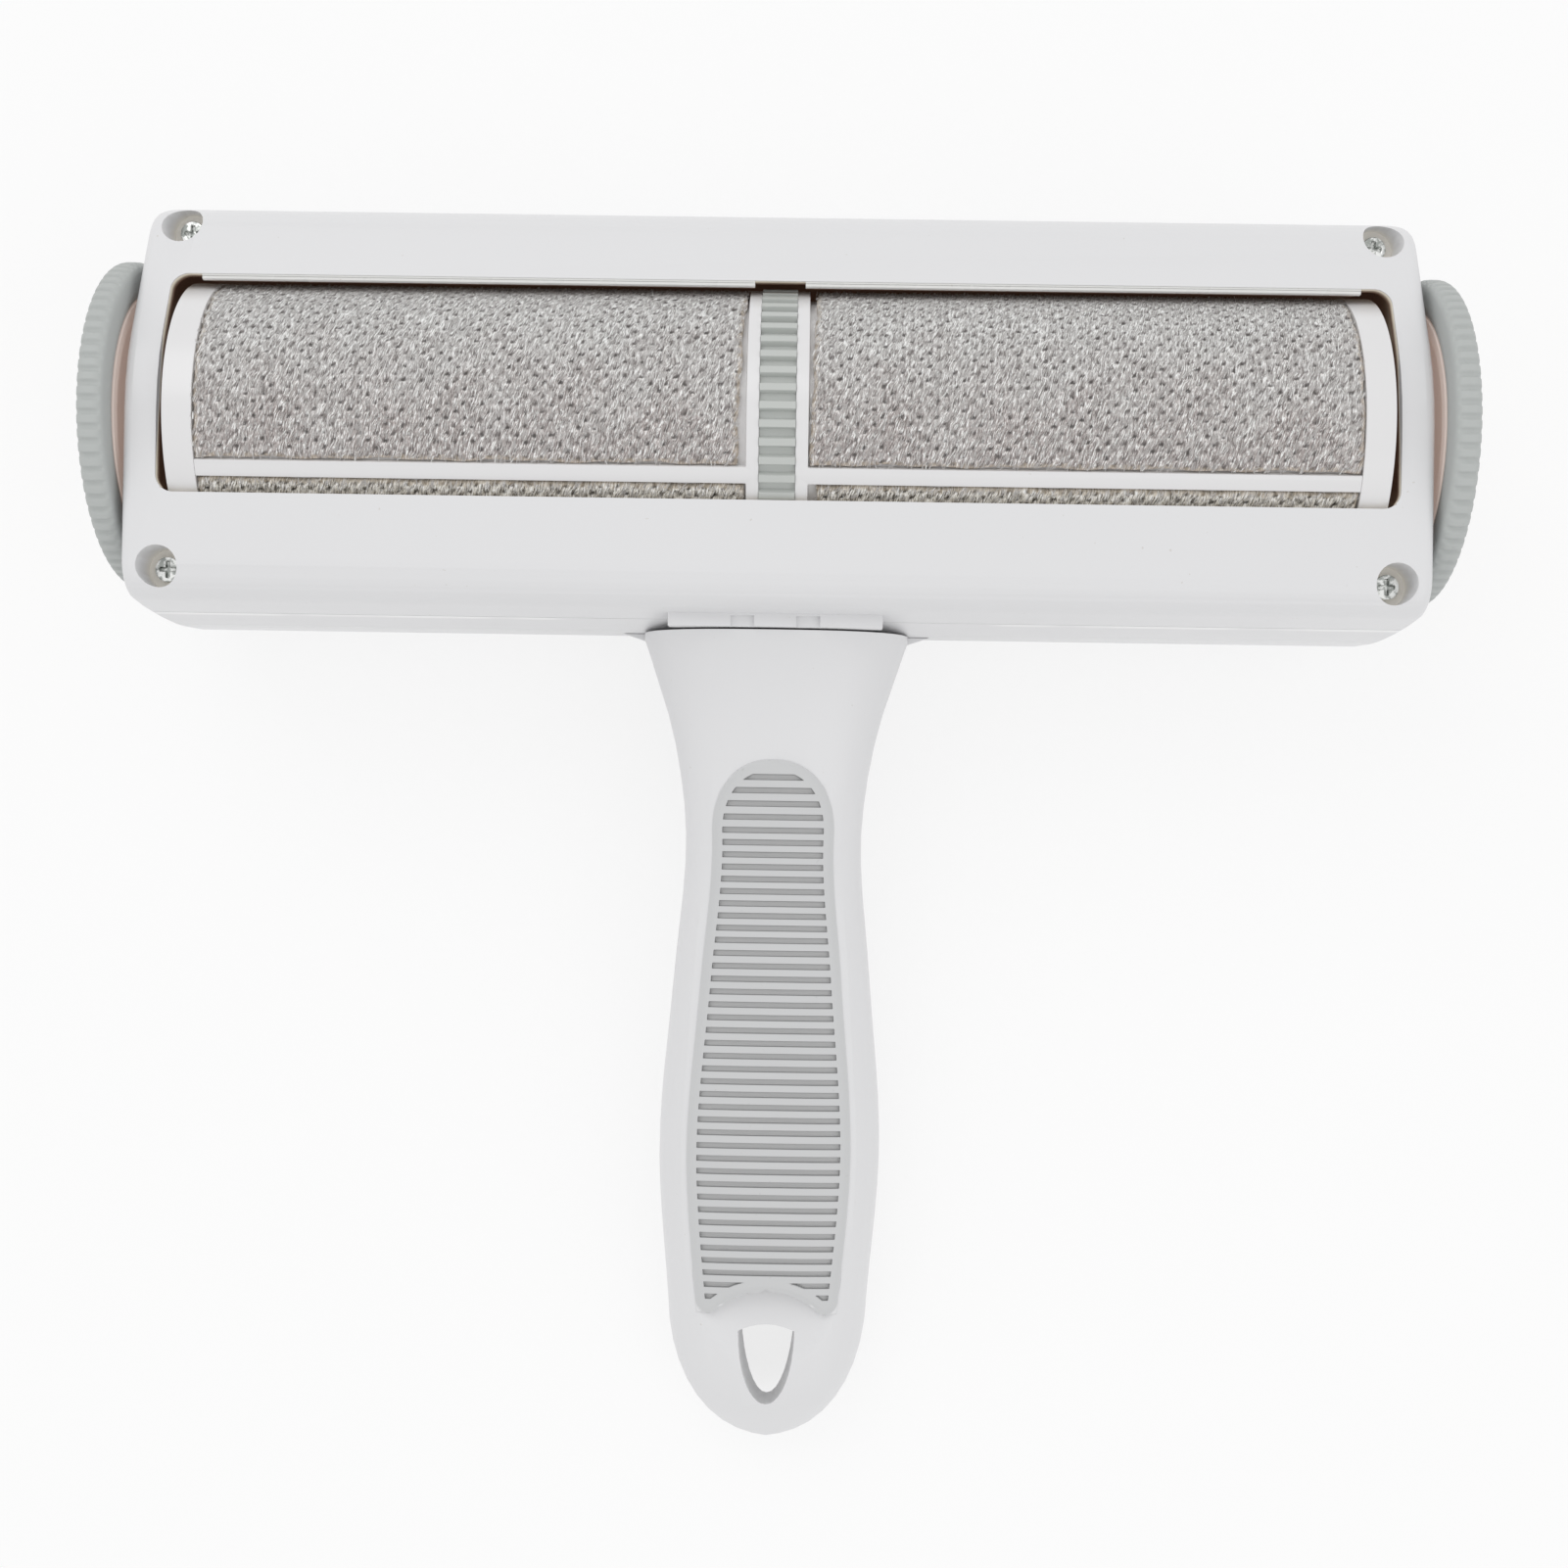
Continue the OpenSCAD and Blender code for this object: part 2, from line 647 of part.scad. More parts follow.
// Back half of the handle, butted on the head's lower face and held by the neck screws
module handle_back() {
    color([0.93, 0.93, 0.94])
    place()
    difference() {
        union() {
            difference() {
                half_loft(concat(neck_rows, stations(neck_end, end_start), end_stations()), -1, 0);
                half_loft(stations(pocket_start, pocket_end), -1, handle_wall, 1);
            }
            intersection() {
                half_loft(stations(pocket_start - 1, pocket_end - 20), -1, 0.4);
                union() {
                    at_neck_screws() cylinder(r = neck_screw_r + 1.8, h = neck_screw_len + 2, $fn = 48);
                    box([-button_half - 2, -button_at - button_len, button_seat + slip],
                        [button_half + 2, -button_at + button_len / 2 + 1, arm_z - slip]);
                    box([-4.5, -spring_back - 1.6, -far], [4.5, -spring_back, spring_z + spring_r]);
                }
            }
        }
        button_room();
        arm_slot();
        arm_path();
        at_neck_screws() cylinder(r = neck_screw_r + running, h = neck_screw_len + 0.5, $fn = 32);
        hang_hole();
    }
}
module neck_screws() {
    color([0.75, 0.75, 0.77])
    place()
    at_neck_screws()
        difference() {
            union() {
                translate([0, 0, -1.6]) cylinder(r = neck_head, h = 1.6, $fn = 48);
                cylinder(r = neck_screw_r, h = neck_screw_len, $fn = 32);
            }
            translate([0, 0, -1.6]) mirror([0, 0, 1]) cross_slot(1.5, 0.8);
        }
}

// Handle cover and its grip pad
module grip_outline(inset) {
    first = grip_top + inset;
    rows = [for (k = [0:10]) first + (grip_arch - inset) * (1 - cos(9 * k))];
    arch_half = half_width(grip_top + grip_arch) - grip_margin - inset;
    arch = [for (k = [0:10]) [arch_half * sin(9 * k), -rows[k]]];
    side = [for (k = [1:12])
        let (a = grip_top + grip_arch + (hole_reach - 8 - grip_top - grip_arch) * k / 12)
        [half_width(a) - grip_margin - inset, -a]];
    right = concat(arch, side);
    left = [for (k = [len(right) - 1:-1:1]) [-right[k][0], right[k][1]]];
    difference() {
        polygon(concat(right, left));
        translate([0, -hole_reach]) circle(r = dish_r + inset, $fn = 72);
    }
}
module under_top(t) half_loft(stations(grip_top - 6, hole_reach - 5), 1, t, 12);
module grip_seat_space(gap)
    difference() {
        intersection() {
            translate([0, 0, -far]) linear_extrude(height = 2 * far) grip_outline(-gap);
            half_loft(stations(grip_top - 4, hole_reach - 6), 1, -3, -1.5);
        }
        under_top(grip_seat);
    }
module handle_cover() {
    color([0.93, 0.93, 0.94])
    place()
    difference() {
        half_loft(concat(neck_rows, stations(neck_end, end_start), end_stations()), 1, 0);
        half_loft(stations(pocket_start, pocket_end), 1, handle_wall + grip_seat, 1);
        grip_seat_space(seat);
        hang_hole();
        dish_cut();
    }
}
dish_sphere = (pow(dish_r - 3, 2) + pow(dish_depth, 2)) / (2 * dish_depth);
module dish_cut()
    translate([0, -hole_reach, curve(top_table, hole_reach) - dish_depth * 0.6 + dish_sphere])
        sphere(r = dish_sphere, $fn = 128);
module grip_pad() {
    color([0.72, 0.74, 0.75])
    place()
    difference() {
        intersection() {
            translate([0, 0, -far]) linear_extrude(height = 2 * far) grip_outline(0);
            half_loft(stations(grip_top - 6, hole_reach - 5), 1, -grip_proud);
        }
        under_top(grip_seat - seat);
        difference() {
            groove_slabs();
            half_loft(stations(grip_top - 8, hole_reach - 3), 1, groove_depth - grip_proud, 12);
        }
    }
}
groove_first = grip_top + 2.8;
groove_rows = 1 + floor((hole_reach - dish_r + 1.5 - groove_first) / groove_pitch);
module groove_slabs()
    for (i = [0:groove_rows - 1]) {
        a = groove_first + groove_pitch * i;
        w = half_width(max(a, grip_top + grip_arch)) - grip_margin - groove_rim;
        s = min(1, (a - grip_top - groove_rim + 0.6) / (grip_arch - groove_rim));
        reach = w * sqrt(max(0.1, 1 - pow(1 - s, 2)));
        ring = dish_r + groove_rim;
        off = hole_reach - a;
        inner = off < ring ? sqrt(ring * ring - off * off) : 0;
        z = curve(top_table, a) - 6;
        if (inner == 0) box([-reach, -a - groove_h / 2, z], [reach, -a + groove_h / 2, z + 9]);
        else both_ends() box([inner, -a - groove_h / 2, z], [reach, -a + groove_h / 2, z + 9]);
    }

// Wipers: strips on the inner faces of the window's edges, notched over the toothed ring
face_tilt = atan2(face_rise - slope_end, head_top - slope_start);
module strip(t)
    difference() {
        box([-wiper_len / 2, 0, -t], [wiper_len / 2, wiper_w, 0]);
        box([-notch_len / 2, -1, -t - 1], [notch_len / 2, 3, 1]);
    }
upper_line = [slope_start, face_rise] - wall * [sin(face_tilt), cos(face_tilt)];
face_run = [cos(face_tilt), -sin(face_tilt)];
under_line = upper_line - wiper_t * [sin(face_tilt), cos(face_tilt)];
under_run = under_line * face_run;
wiper_reach = drum_r + wiper_gap;
edge_run = sqrt(under_run * under_run - under_line * under_line + wiper_reach * wiper_reach) - under_run;
upper_edge = upper_line + edge_run * face_run;
module upper_wiper() {
    color([0.95, 0.95, 0.95])
    place()
    translate([0, upper_edge[0], upper_edge[1]])
        rotate([-face_tilt, 0, 0])
            strip(wiper_t);
}
lower_edge_z = face_rise - wall;
lower_edge_y = sqrt(wiper_reach * wiper_reach - pow(lower_edge_z - wiper_t, 2));
module lower_wiper() {
    color([0.95, 0.95, 0.95])
    place()
    translate([0, -lower_edge_y, lower_edge_z])
        mirror([0, 1, 0])
            strip(wiper_t);
}

// Shell screws
module cross_slot(r, depth) {
    box([-r, -0.3, -depth], [r, 0.3, 1]);
    box([-0.3, -r, -depth], [0.3, r, 1]);
}
module shell_screws() {
    color([0.75, 0.75, 0.77])
    place()
    at_screws()
        difference() {
            union() {
                cylinder(r = screw_head, h = screw_head_h, $fn = 48);
                translate([0, 0, -screw_len]) cylinder(r = screw_r, h = screw_len + 0.1, $fn = 32);
            }
            translate([0, 0, screw_head_h]) cross_slot(1.25, 0.8);
        }
}

// Axle, bushes and the screws that hold the wheels
axle_end = hub_web_out + 0.1;
module axle() {
    color([0.7, 0.71, 0.73])
    place() round_x(-axle_end, axle_end, axle_r);
}
module bush() {
    difference() {
        union() {
            round_x(bush_in, half_w + 0.1, bush_r);
            round_x(half_w, half_w + bush_flange, bush_r + 1.8);
        }
        round_x(bush_in - 1, half_w + 2, axle_r + running);
    }
}
module left_bush() {
    color([0.85, 0.84, 0.8])
    place() mirror([1, 0, 0]) bush();
}
module right_bush() {
    color([0.85, 0.84, 0.8])
    place() bush();
}
module axle_screws() {
    color([0.75, 0.75, 0.77])
    place()
    both_ends()
        difference() {
            round_x(axle_end, axle_end + 1.6, axle_screw_head);
            translate([axle_end + 1.6, 0, 0]) rotate([0, 90, 0]) cross_slot(2, 0.9);
        }
}

// Drum tube of one side, with its inner band and two ribs
inner_face = ring_w / 2;
panel_from = inner_face + inner_band_w;
panel_to = cap_face - band_w;
rib_half = rib_w / 2;
module drum_half() {
    difference() {
        union() {
            round_x(inner_face, panel_to + cap_lap, tube_r);
            round_x(inner_face, panel_from, drum_r);
            intersection() {
                round_x(inner_face, panel_to, drum_r);
                rotate([rib_angle, 0, 0]) box([0, -rib_half, -far], [far * 2, rib_half, far]);
            }
        }
        round_x(inner_face - 1, panel_to + 4, tube_r - tube_wall);
    }
    difference() {
        round_x(inner_face + spigot_len + 1, inner_face + spigot_len + 2.6, tube_r - tube_wall + 0.2);
        round_x(0, far, axle_r + 0.4);
        for (a = [0:60:300]) rotate([a, 0, 0]) translate([0, 0, drum_r / 2]) round_x(0, far, 4);
    }
}
module left_drum() {
    color([0.95, 0.95, 0.96])
    place() mirror([1, 0, 0]) drum_half();
}
module right_drum() {
    color([0.95, 0.95, 0.96])
    place() drum_half();
}

// Toothed ring: its outline has a tooth with a steep upper flank at every pitch
module traction_ring() {
    pitch = 360 / ring_teeth;
    root = ring_r - tooth_depth;
    outline = [for (i = [0:ring_teeth - 1]) each [
        for (p = [[0, root], [0.08, ring_r], [0.48, ring_r], [0.6, root]])
            p[1] * [sin(pitch * (i + p[0])), cos(pitch * (i + p[0]))]
    ]];
    color([0.74, 0.77, 0.76])
    place()
    difference() {
        union() {
            along_x(ring_w) polygon(outline);
            round_x(-inner_face - spigot_len, inner_face + spigot_len, tube_r - tube_wall - seat);
        }
        round_x(-far, far, tube_r - tube_wall - seat - spigot_wall);
    }
}

// End cap: band, web and the hub that turns on the axle, with the stop lug on its outer face
cap_lap = 2.6;
cap_web = 1.6;
module end_cap() {
    difference() {
        union() {
            difference() {
                round_x(panel_to, cap_face, drum_r);
                round_x(panel_to - 1, panel_to + cap_lap + seat, tube_r + seat);
                round_x(panel_to, cap_face - cap_web, tube_r - 2);
            }
            round_x(panel_to - 3, cap_face + 0.25, axle_r + 3);
        }
        round_x(panel_to - 4, cap_face + 2, axle_r + running);
    }
    rotate([180, 0, 0])
        box([cap_face - 0.2, -lug_half, stop_low], [cap_face + 2.4, lug_half, stop_high]);
}
module left_end_cap() {
    color([0.95, 0.95, 0.96])
    place() mirror([1, 0, 0]) end_cap();
}
module right_end_cap() {
    color([0.95, 0.95, 0.96])
    place() end_cap();
}

// Fabric panels: sectors of a ring between the two ribs
rib_span = asin(rib_half / tube_r) + 0.5;
module panel(from, to, start)
    rotate([rib_angle, 0, 0])
        translate([from, 0, 0])
            turned(180 - 2 * rib_span, start + rib_span)
                translate([tube_r + 0.03, 0]) square([fabric_t, to - from]);
module left_front_panel() {
    color([0.78, 0.77, 0.76])
    place() panel(-panel_to + 0.1, -panel_from - left_panel_gap, 0);
}
module left_rear_panel() {
    color([0.78, 0.77, 0.76])
    place() panel(-panel_to + 0.1, -panel_from - left_panel_gap, 180);
}
module right_front_panel() {
    color([0.78, 0.77, 0.76])
    place() panel(panel_from + right_panel_gap, panel_to - 0.1, 0);
}
module right_rear_panel() {
    color([0.78, 0.77, 0.76])
    place() panel(panel_from + right_panel_gap, panel_to - 0.1, 180);
}

// Wheel: a dished white hub and a knurled tyre
module hub() {
    rotate([0, 90, 0])
        rotate_extrude()
            polygon([
                [axle_r + running, wheel_in - 0.15], [axle_r + 3.5, wheel_in - 0.15],
                [axle_r + 3.5, wheel_in + 0.3],
                [tyre_seat_r - hub_rim, wheel_in + 0.3], [tyre_seat_r - hub_rim, wheel_in - 0.2],
                [tyre_seat_r, wheel_in - 0.2], [tyre_seat_r, wheel_out - 0.5],
                [tyre_seat_r - 0.5, wheel_out - 0.2], [tyre_seat_r - hub_rim, wheel_out - 0.2],
                [tyre_seat_r - hub_rim - 0.8, hub_web_out + 0.4], [tyre_seat_r - hub_rim - 3, hub_web_out],
                [axle_r + running, hub_web_out]
            ]);
}
module tyre() {
    pitch = 360 / ridge_count;
    low = wheel_r - ridge_depth;
    outline = [for (i = [0:ridge_count - 1]) each [
        for (p = [[0, low], [0.16, wheel_r], [0.68, wheel_r], [0.84, low]])
            p[1] * [cos(pitch * (i + p[0])), sin(pitch * (i + p[0]))]
    ]];
    difference() {
        union() {
            translate([wheel_in + 0.3, 0, 0]) rotate([90, 0, 90])
                linear_extrude(height = wheel_out - wheel_in - 0.8) polygon(outline);
            rotate([0, 90, 0])
                rotate_extrude()
                    polygon([
                        [tyre_seat_r - 1, wheel_in], [wheel_r - 1.2, wheel_in],
                        [low - 0.05, wheel_in + 0.6], [low - 0.05, wheel_out - 0.6],
                        [wheel_r - 1.2, wheel_out], [tyre_seat_r - 1, wheel_out]
                    ]);
        }
        round_x(0, far * 2, tyre_seat_r + seat);
    }
}
module left_hub() {
    color([0.92, 0.9, 0.88])
    place() mirror([1, 0, 0]) hub();
}
module right_hub() {
    color([0.92, 0.9, 0.88])
    place() hub();
}
module left_tyre() {
    color([0.72, 0.75, 0.74])
    place() mirror([1, 0, 0]) tyre();
}
module right_tyre() {
    color([0.72, 0.75, 0.74])
    place() tyre();
}

// Lid of the hair bin, with two knuckles and a hook, and its hinge pins
lid_rib_pitch = lid_x * 3 / 8;
module bin_lid() {
    back = hinge_y + 1;
    plate_top = lid_under + lid_t;
    color([0.93, 0.93, 0.94])
    place()
    difference() {
        union() {
            box([-lid_x, -lid_front, lid_under], [lid_x, back, plate_top]);
            both_ends() round_x_at([hinge_x - knuckle_len / 2, hinge_y, hinge_z], knuckle_len, knuckle_r);
            for (k = [-2:2])
                box([k * lid_rib_pitch - 0.8, -lid_front + 4, plate_top - 0.1],
                    [k * lid_rib_pitch + 0.8, hinge_y - 6, plate_top + 1.2]);
            box([-hook_half, -lid_front, plate_top - 0.1], [hook_half, -lid_front + 1.7, latch_z + 2.6]);
            box([-hook_half, -lid_front - 1.4, latch_z + 1.2], [hook_half, -lid_front + 0.1, latch_z + 2.6]);
        }
        both_ends() for (x = lug_x)
            box([x - lug_len / 2 - slip, hinge_y - knuckle_r - slip, lid_under - 1],
                [x + lug_len / 2 + slip, back + 1, plate_top + 2]);
        both_ends() round_x_at([hinge_x - knuckle_len, hinge_y, hinge_z], 2 * knuckle_len, pin_r + running);
    }
}
module hinge_pins() {
    len = knuckle_len + 2 * slip + 2 * lug_len;
    color([0.7, 0.71, 0.73])
    place() both_ends() round_x_at([hinge_x - len / 2, hinge_y, hinge_z], len, pin_r);
}

// Release latch: thumb button, stem, arm and the ledge in front of the lid's hook
module release_button() {
    front = -button_at + button_len / 2;
    back = -button_at - button_len / 2;
    color([0.74, 0.77, 0.76])
    place() {
        difference() {
            box([-button_half, back, button_under], [button_half, front, button_seat]);
            for (k = [-3:1.5:3])
                box([-button_half + 2, -button_at + k - 0.35, -far],
                    [button_half - 2, -button_at + k + 0.35, button_under + 0.5]);
        }
        box([-arm_half, -button_at - 3, button_seat - 0.1], [arm_half, -button_at + 3, arm_z + arm_t]);
        box([-arm_half, -button_at - 3, arm_z], [arm_half, -button_at - 1, spring_z + spring_r]);
        box([-arm_half, -button_at, arm_z], [arm_half, -arm_reach, arm_z + arm_t]);
        box([-arm_half, -arm_reach - arm_leg, latch_z - 0.8], [arm_half, -arm_reach, arm_z + arm_t]);
        box([-arm_half, -arm_reach - arm_leg, latch_z - 0.8], [arm_half, -lid_front - 2.4, latch_z + 0.6]);
    }
}
module button_spring() {
    from = -spring_back + 0.1;
    to = -button_at - 3 - 0.1;
    turns = 7;
    steps = 12;
    sides = 6;
    count = turns * steps;
    function ring_point(i, k) =
        let (t = 360 * i / steps, q = 360 * k / sides, r = spring_r + spring_wire * cos(q))
        [r * cos(t), from + spring_wire + (to - from - 2 * spring_wire) * i / count + spring_wire * sin(q),
            spring_z + r * sin(t)];
    color([0.7, 0.71, 0.73])
    place()
    polyhedron(
        points = [for (i = [0:count], k = [0:sides - 1]) ring_point(i, k)],
        faces = concat(
            [for (i = [0:count - 1], k = [0:sides - 1])
                let (m = (k + 1) % sides)
                [i * sides + k, i * sides + m, (i + 1) * sides + m, (i + 1) * sides + k]],
            [[for (k = [sides - 1:-1:0]) k], [for (k = [0:sides - 1]) count * sides + k]]
        )
    );
}

front_shell();
rear_housing();
handle_back();
handle_cover();
grip_pad();
upper_wiper();
lower_wiper();
shell_screws();
neck_screws();
axle();
left_bush();
right_bush();
axle_screws();
hinge_pins();
button_spring();
left_drum();
right_drum();
traction_ring();
left_end_cap();
right_end_cap();
left_front_panel();
left_rear_panel();
right_front_panel();
right_rear_panel();
left_hub();
left_tyre();
right_hub();
right_tyre();
bin_lid();
release_button();
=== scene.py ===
# %% [markdown]
# A reusable pet hair roller, lying on its back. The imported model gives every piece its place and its
# joints. This lesson gives each piece the surface and the finish that the real one has.
# The frame comes first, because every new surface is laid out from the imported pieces' own points.

# %% Open the frame
import json
import math

import bmesh
import bpy
import numpy as np
from mathutils import Matrix, Vector

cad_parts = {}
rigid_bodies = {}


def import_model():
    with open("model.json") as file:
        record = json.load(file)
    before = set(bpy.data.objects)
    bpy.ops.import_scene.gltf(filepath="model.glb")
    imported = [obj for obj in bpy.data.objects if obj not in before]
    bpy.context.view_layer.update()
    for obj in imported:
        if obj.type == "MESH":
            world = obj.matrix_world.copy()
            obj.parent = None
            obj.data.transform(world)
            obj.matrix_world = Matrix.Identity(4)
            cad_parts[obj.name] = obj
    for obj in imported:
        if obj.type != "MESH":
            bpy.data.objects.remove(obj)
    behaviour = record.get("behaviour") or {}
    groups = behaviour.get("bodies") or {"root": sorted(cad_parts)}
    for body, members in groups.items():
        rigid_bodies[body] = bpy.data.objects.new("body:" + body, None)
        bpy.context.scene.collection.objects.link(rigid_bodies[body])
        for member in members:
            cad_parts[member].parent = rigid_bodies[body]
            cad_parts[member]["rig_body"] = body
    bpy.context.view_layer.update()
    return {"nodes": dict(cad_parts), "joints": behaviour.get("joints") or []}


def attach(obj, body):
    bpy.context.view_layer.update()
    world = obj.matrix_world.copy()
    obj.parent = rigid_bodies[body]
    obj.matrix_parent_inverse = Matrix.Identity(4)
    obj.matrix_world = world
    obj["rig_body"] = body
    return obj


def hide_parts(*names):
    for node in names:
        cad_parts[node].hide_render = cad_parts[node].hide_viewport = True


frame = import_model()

NODES = frame["nodes"]
MM = 0.001
AXIS = next(np.array(j["pos_m"]) for j in frame["joints"] if j["name"] == "drum_swing")
print("pieces in the frame:", len(NODES), "drum axis at", AXIS)

# %% [markdown]
# Numbers flow through a material as links between nodes. Writing them as sums and products is
# easier to read than a page of links, so a small class wraps a socket and lends it the signs of
# arithmetic. Each sign adds one Math node.

# %% Arithmetic on sockets
class Wire:
    """A socket that can be added, multiplied and compared like a number."""

    def __init__(self, finish, socket):
        self.finish = finish
        self.socket = socket

    def math(self, operation, *values):
        return self.finish.add("ShaderNodeMath", {"operation": operation}, dict(enumerate((self, *values))))

    def __add__(self, other):
        return self.math("ADD", other)

    def __mul__(self, other):
        return self.math("MULTIPLY", other)

    def __sub__(self, other):
        return self.math("SUBTRACT", other)

    def __rsub__(self, other):
        return self.finish.add("ShaderNodeMath", {"operation": "SUBTRACT"}, {0: other, 1: self})

    def __truediv__(self, other):
        return self.math("DIVIDE", other)

    def __pow__(self, other):
        return self.math("POWER", other)

    __radd__ = __add__
    __rmul__ = __mul__

    def above(self, low, high):
        """0 under low, 1 over high, and a smooth step between them."""
        settings = {"interpolation_type": "SMOOTHSTEP"}
        values = {"Value": self, "From Min": low, "From Max": high}
        return self.finish.add("ShaderNodeMapRange", settings, values)


class Finish:
    """One material with its node tree, and the record's slot that it belongs to."""

    def __init__(self, name, slot, colour, roughness, **constants):
        self.slot = slot
        self.material = bpy.data.materials.new(name)
        self.material.use_nodes = True
        self.tree = self.material.node_tree
        self.shader = self.tree.nodes["Principled BSDF"]
        self.base = (*colour, 1)
        self.shader.inputs["Base Color"].default_value = self.base
        self.shader.inputs["Roughness"].default_value = roughness
        for socket, value in constants.items():
            self.shader.inputs[socket.replace("_", " ")].default_value = value

    def add(self, kind, settings=None, values=None, output=0):
        """Adds a node: its settings first, then the values or the links of its sockets."""
        node = self.tree.nodes.new(kind)
        for key, value in (settings or {}).items():
            setattr(node, key, value)
        for key, value in (values or {}).items():
            if isinstance(value, Wire):
                self.tree.links.new(value.socket, node.inputs[key])
            else:
                node.inputs[key].default_value = value
        return Wire(self, node.outputs[output])

    def feed(self, socket, wire):
        self.tree.links.new(wire.socket, self.shader.inputs[socket])

    def place(self, scale=(1, 1, 1)):
        """Object coordinates in metres, multiplied along each axis."""
        coords = self.add("ShaderNodeTexCoord", output="Object")
        return self.add("ShaderNodeVectorMath", {"operation": "MULTIPLY"}, {0: coords, 1: scale})

    def part(self, vector, axis):
        """One component of a vector: 0, 1 or 2."""
        return self.add("ShaderNodeSeparateXYZ", {}, {0: vector}, output=axis)

    def attribute(self, name):
        """The number that the mesh carries under this name at each point."""
        return self.add("ShaderNodeAttribute", {"attribute_name": name}, output=2)

    def noise(self, scale, detail=2.0, roughness=0.5, vector=None):
        vector = vector or self.place()
        values = {"Vector": vector, "Scale": scale, "Detail": detail, "Roughness": roughness}
        return self.add("ShaderNodeTexNoise", {}, values)

    def mix(self, factor, first, second):
        """Colour first where the factor is 0 and second where it is 1."""
        settings = {"data_type": "RGBA", "clamp_factor": True}
        first = first if isinstance(first, Wire) else (*first, 1)
        second = second if isinstance(second, Wire) else (*second, 1)
        return self.add("ShaderNodeMix", settings, {0: factor, 6: first, 7: second}, output=2)

    def bump(self, height, depth, strength=1.0):
        """Normals of a height between 0 and 1 that stands for depth metres."""
        values = {"Height": height, "Distance": depth, "Strength": strength}
        self.feed("Normal", self.add("ShaderNodeBump", {}, values))


def dimmed(colour, share):
    """The same colour with its red, green and blue times one share."""
    return tuple(part * share for part in colour)


def wear(finish, roughness, spread, scale=140):
    """Roughness that wanders a little over the surface, as on a handled moulding."""
    finish.feed("Roughness", finish.noise(scale, 3) * spread + (roughness - spread / 2))


print("ready to mix finishes")

# %% [markdown]
# The shells are satin white plastic, injection moulded: an even colour, a soft gloss, and a very
# fine texture from the mould. A slow noise moves the grey by a percent or so, because an evenly
# lit area that is one flat value reads as a drawing. Thin white plastic lets some light through and
# its inside lies in shade, so a painted cream glow on its cut edges and a painted brown shade inside
# stand in for both. The pieces carry their depth under the head's outer form as an attribute. Colour
# and a weak emission, a painted glow, turn cream and then brown with that depth. A faint painted
# highlight line on the head marks where the two halves of the mould met.

# %% White moulded plastic
SHELL_WHITE = (0.745, 0.745, 0.755)
SEAM_AT = -29.9
DIRT = (0.5, 0.46, 0.4)


def with_depth_shade_and_glow(finish, tone):
    """Tone turns a painted cream glow and then a painted brown shade with depth; the emission is a painted
    glow for light through the thin plastic.
    """
    depth = finish.attribute("depth_mm")
    tone = finish.mix(depth.above(0.15, 0.7), tone, (0.82, 0.75, 0.63))
    # Painted shade: deep plastic turns brown.
    tone = finish.mix(depth.above(0.6, 1.9), tone, (0.2, 0.12, 0.085))
    # Painted glow: a weak emission for light through the thin plastic.
    lit = finish.mix(depth.above(0.1, 0.5), (0, 0, 0), (0.2, 0.185, 0.15))
    lit = finish.mix(depth.above(0.5, 1.5), lit, (0.012, 0.006, 0.004))
    finish.feed("Emission Color", lit)
    finish.shader.inputs["Emission Strength"].default_value = 1.0
    return tone


def with_seam_highlight(finish, tone):
    """A painted highlight line along the drum where the mould's halves met, broken by noise and left out at
    the neck.
    """
    off = finish.part(finish.place(), 1) - (float(AXIS[1]) + SEAM_AT * MM)
    line = 1 - off.math("ABSOLUTE").above(0.00004, 0.00016)
    beside_neck = finish.part(finish.place(), 0).math("ABSOLUTE").above(0.031, 0.036)
    along = beside_neck * finish.noise(60, 2).above(0.35, 0.6)
    return finish.mix(line * along * 0.7, tone, (0.93, 0.93, 0.93))


def moulded(name, slot, colour, roughness=0.34, depth=False, seam_highlight=False):
    finish = Finish(name, slot, colour, roughness, IOR=1.5)
    cloud = finish.noise(22, 3)
    speck = finish.noise(1100, 1).above(0.79, 0.83)
    tone = finish.mix(cloud * 0.5, colour, dimmed(colour, 0.965))
    if depth:
        tone = with_depth_shade_and_glow(finish, tone)
    if seam_highlight:
        tone = with_seam_highlight(finish, tone)
    finish.feed("Base Color", finish.mix(speck * 0.35, tone, DIRT))
    wear(finish, roughness, 0.12)
    finish.bump(finish.noise(2600, 2), 0.00002, 0.35)
    return finish


white_shell = moulded("white_shell", "white_shell", SHELL_WHITE, depth=True, seam_highlight=True)
white_drum = moulded("white_drum", "white_drum", (0.76, 0.755, 0.76), 0.22)
hub_painted_glow = moulded("hub_cream_painted_glow", "hub", (0.56, 0.49, 0.455), 0.3)
# A weak emission on the hub is a painted glow that lightens the shade between hub and end wall.
hub_painted_glow.shader.inputs["Emission Color"].default_value = (0.15, 0.112, 0.095, 1)
hub_painted_glow.shader.inputs["Emission Strength"].default_value = 1.0
bush_white = moulded("bush_cream", "bush", (0.62, 0.58, 0.5), 0.3)
# The scraper carries the same painted depth shade and glow as the shells.
wiper_white = moulded("wiper_white", "wiper", (0.8, 0.8, 0.785), 0.28, depth=True)
print("white plastics:", white_shell.material.name, white_drum.material.name)

# %% [markdown]
# The grey parts are soft: a thermoplastic rubber that is moulded over or pushed on. It is rougher
# than the shells and shows fine grain in glancing light.

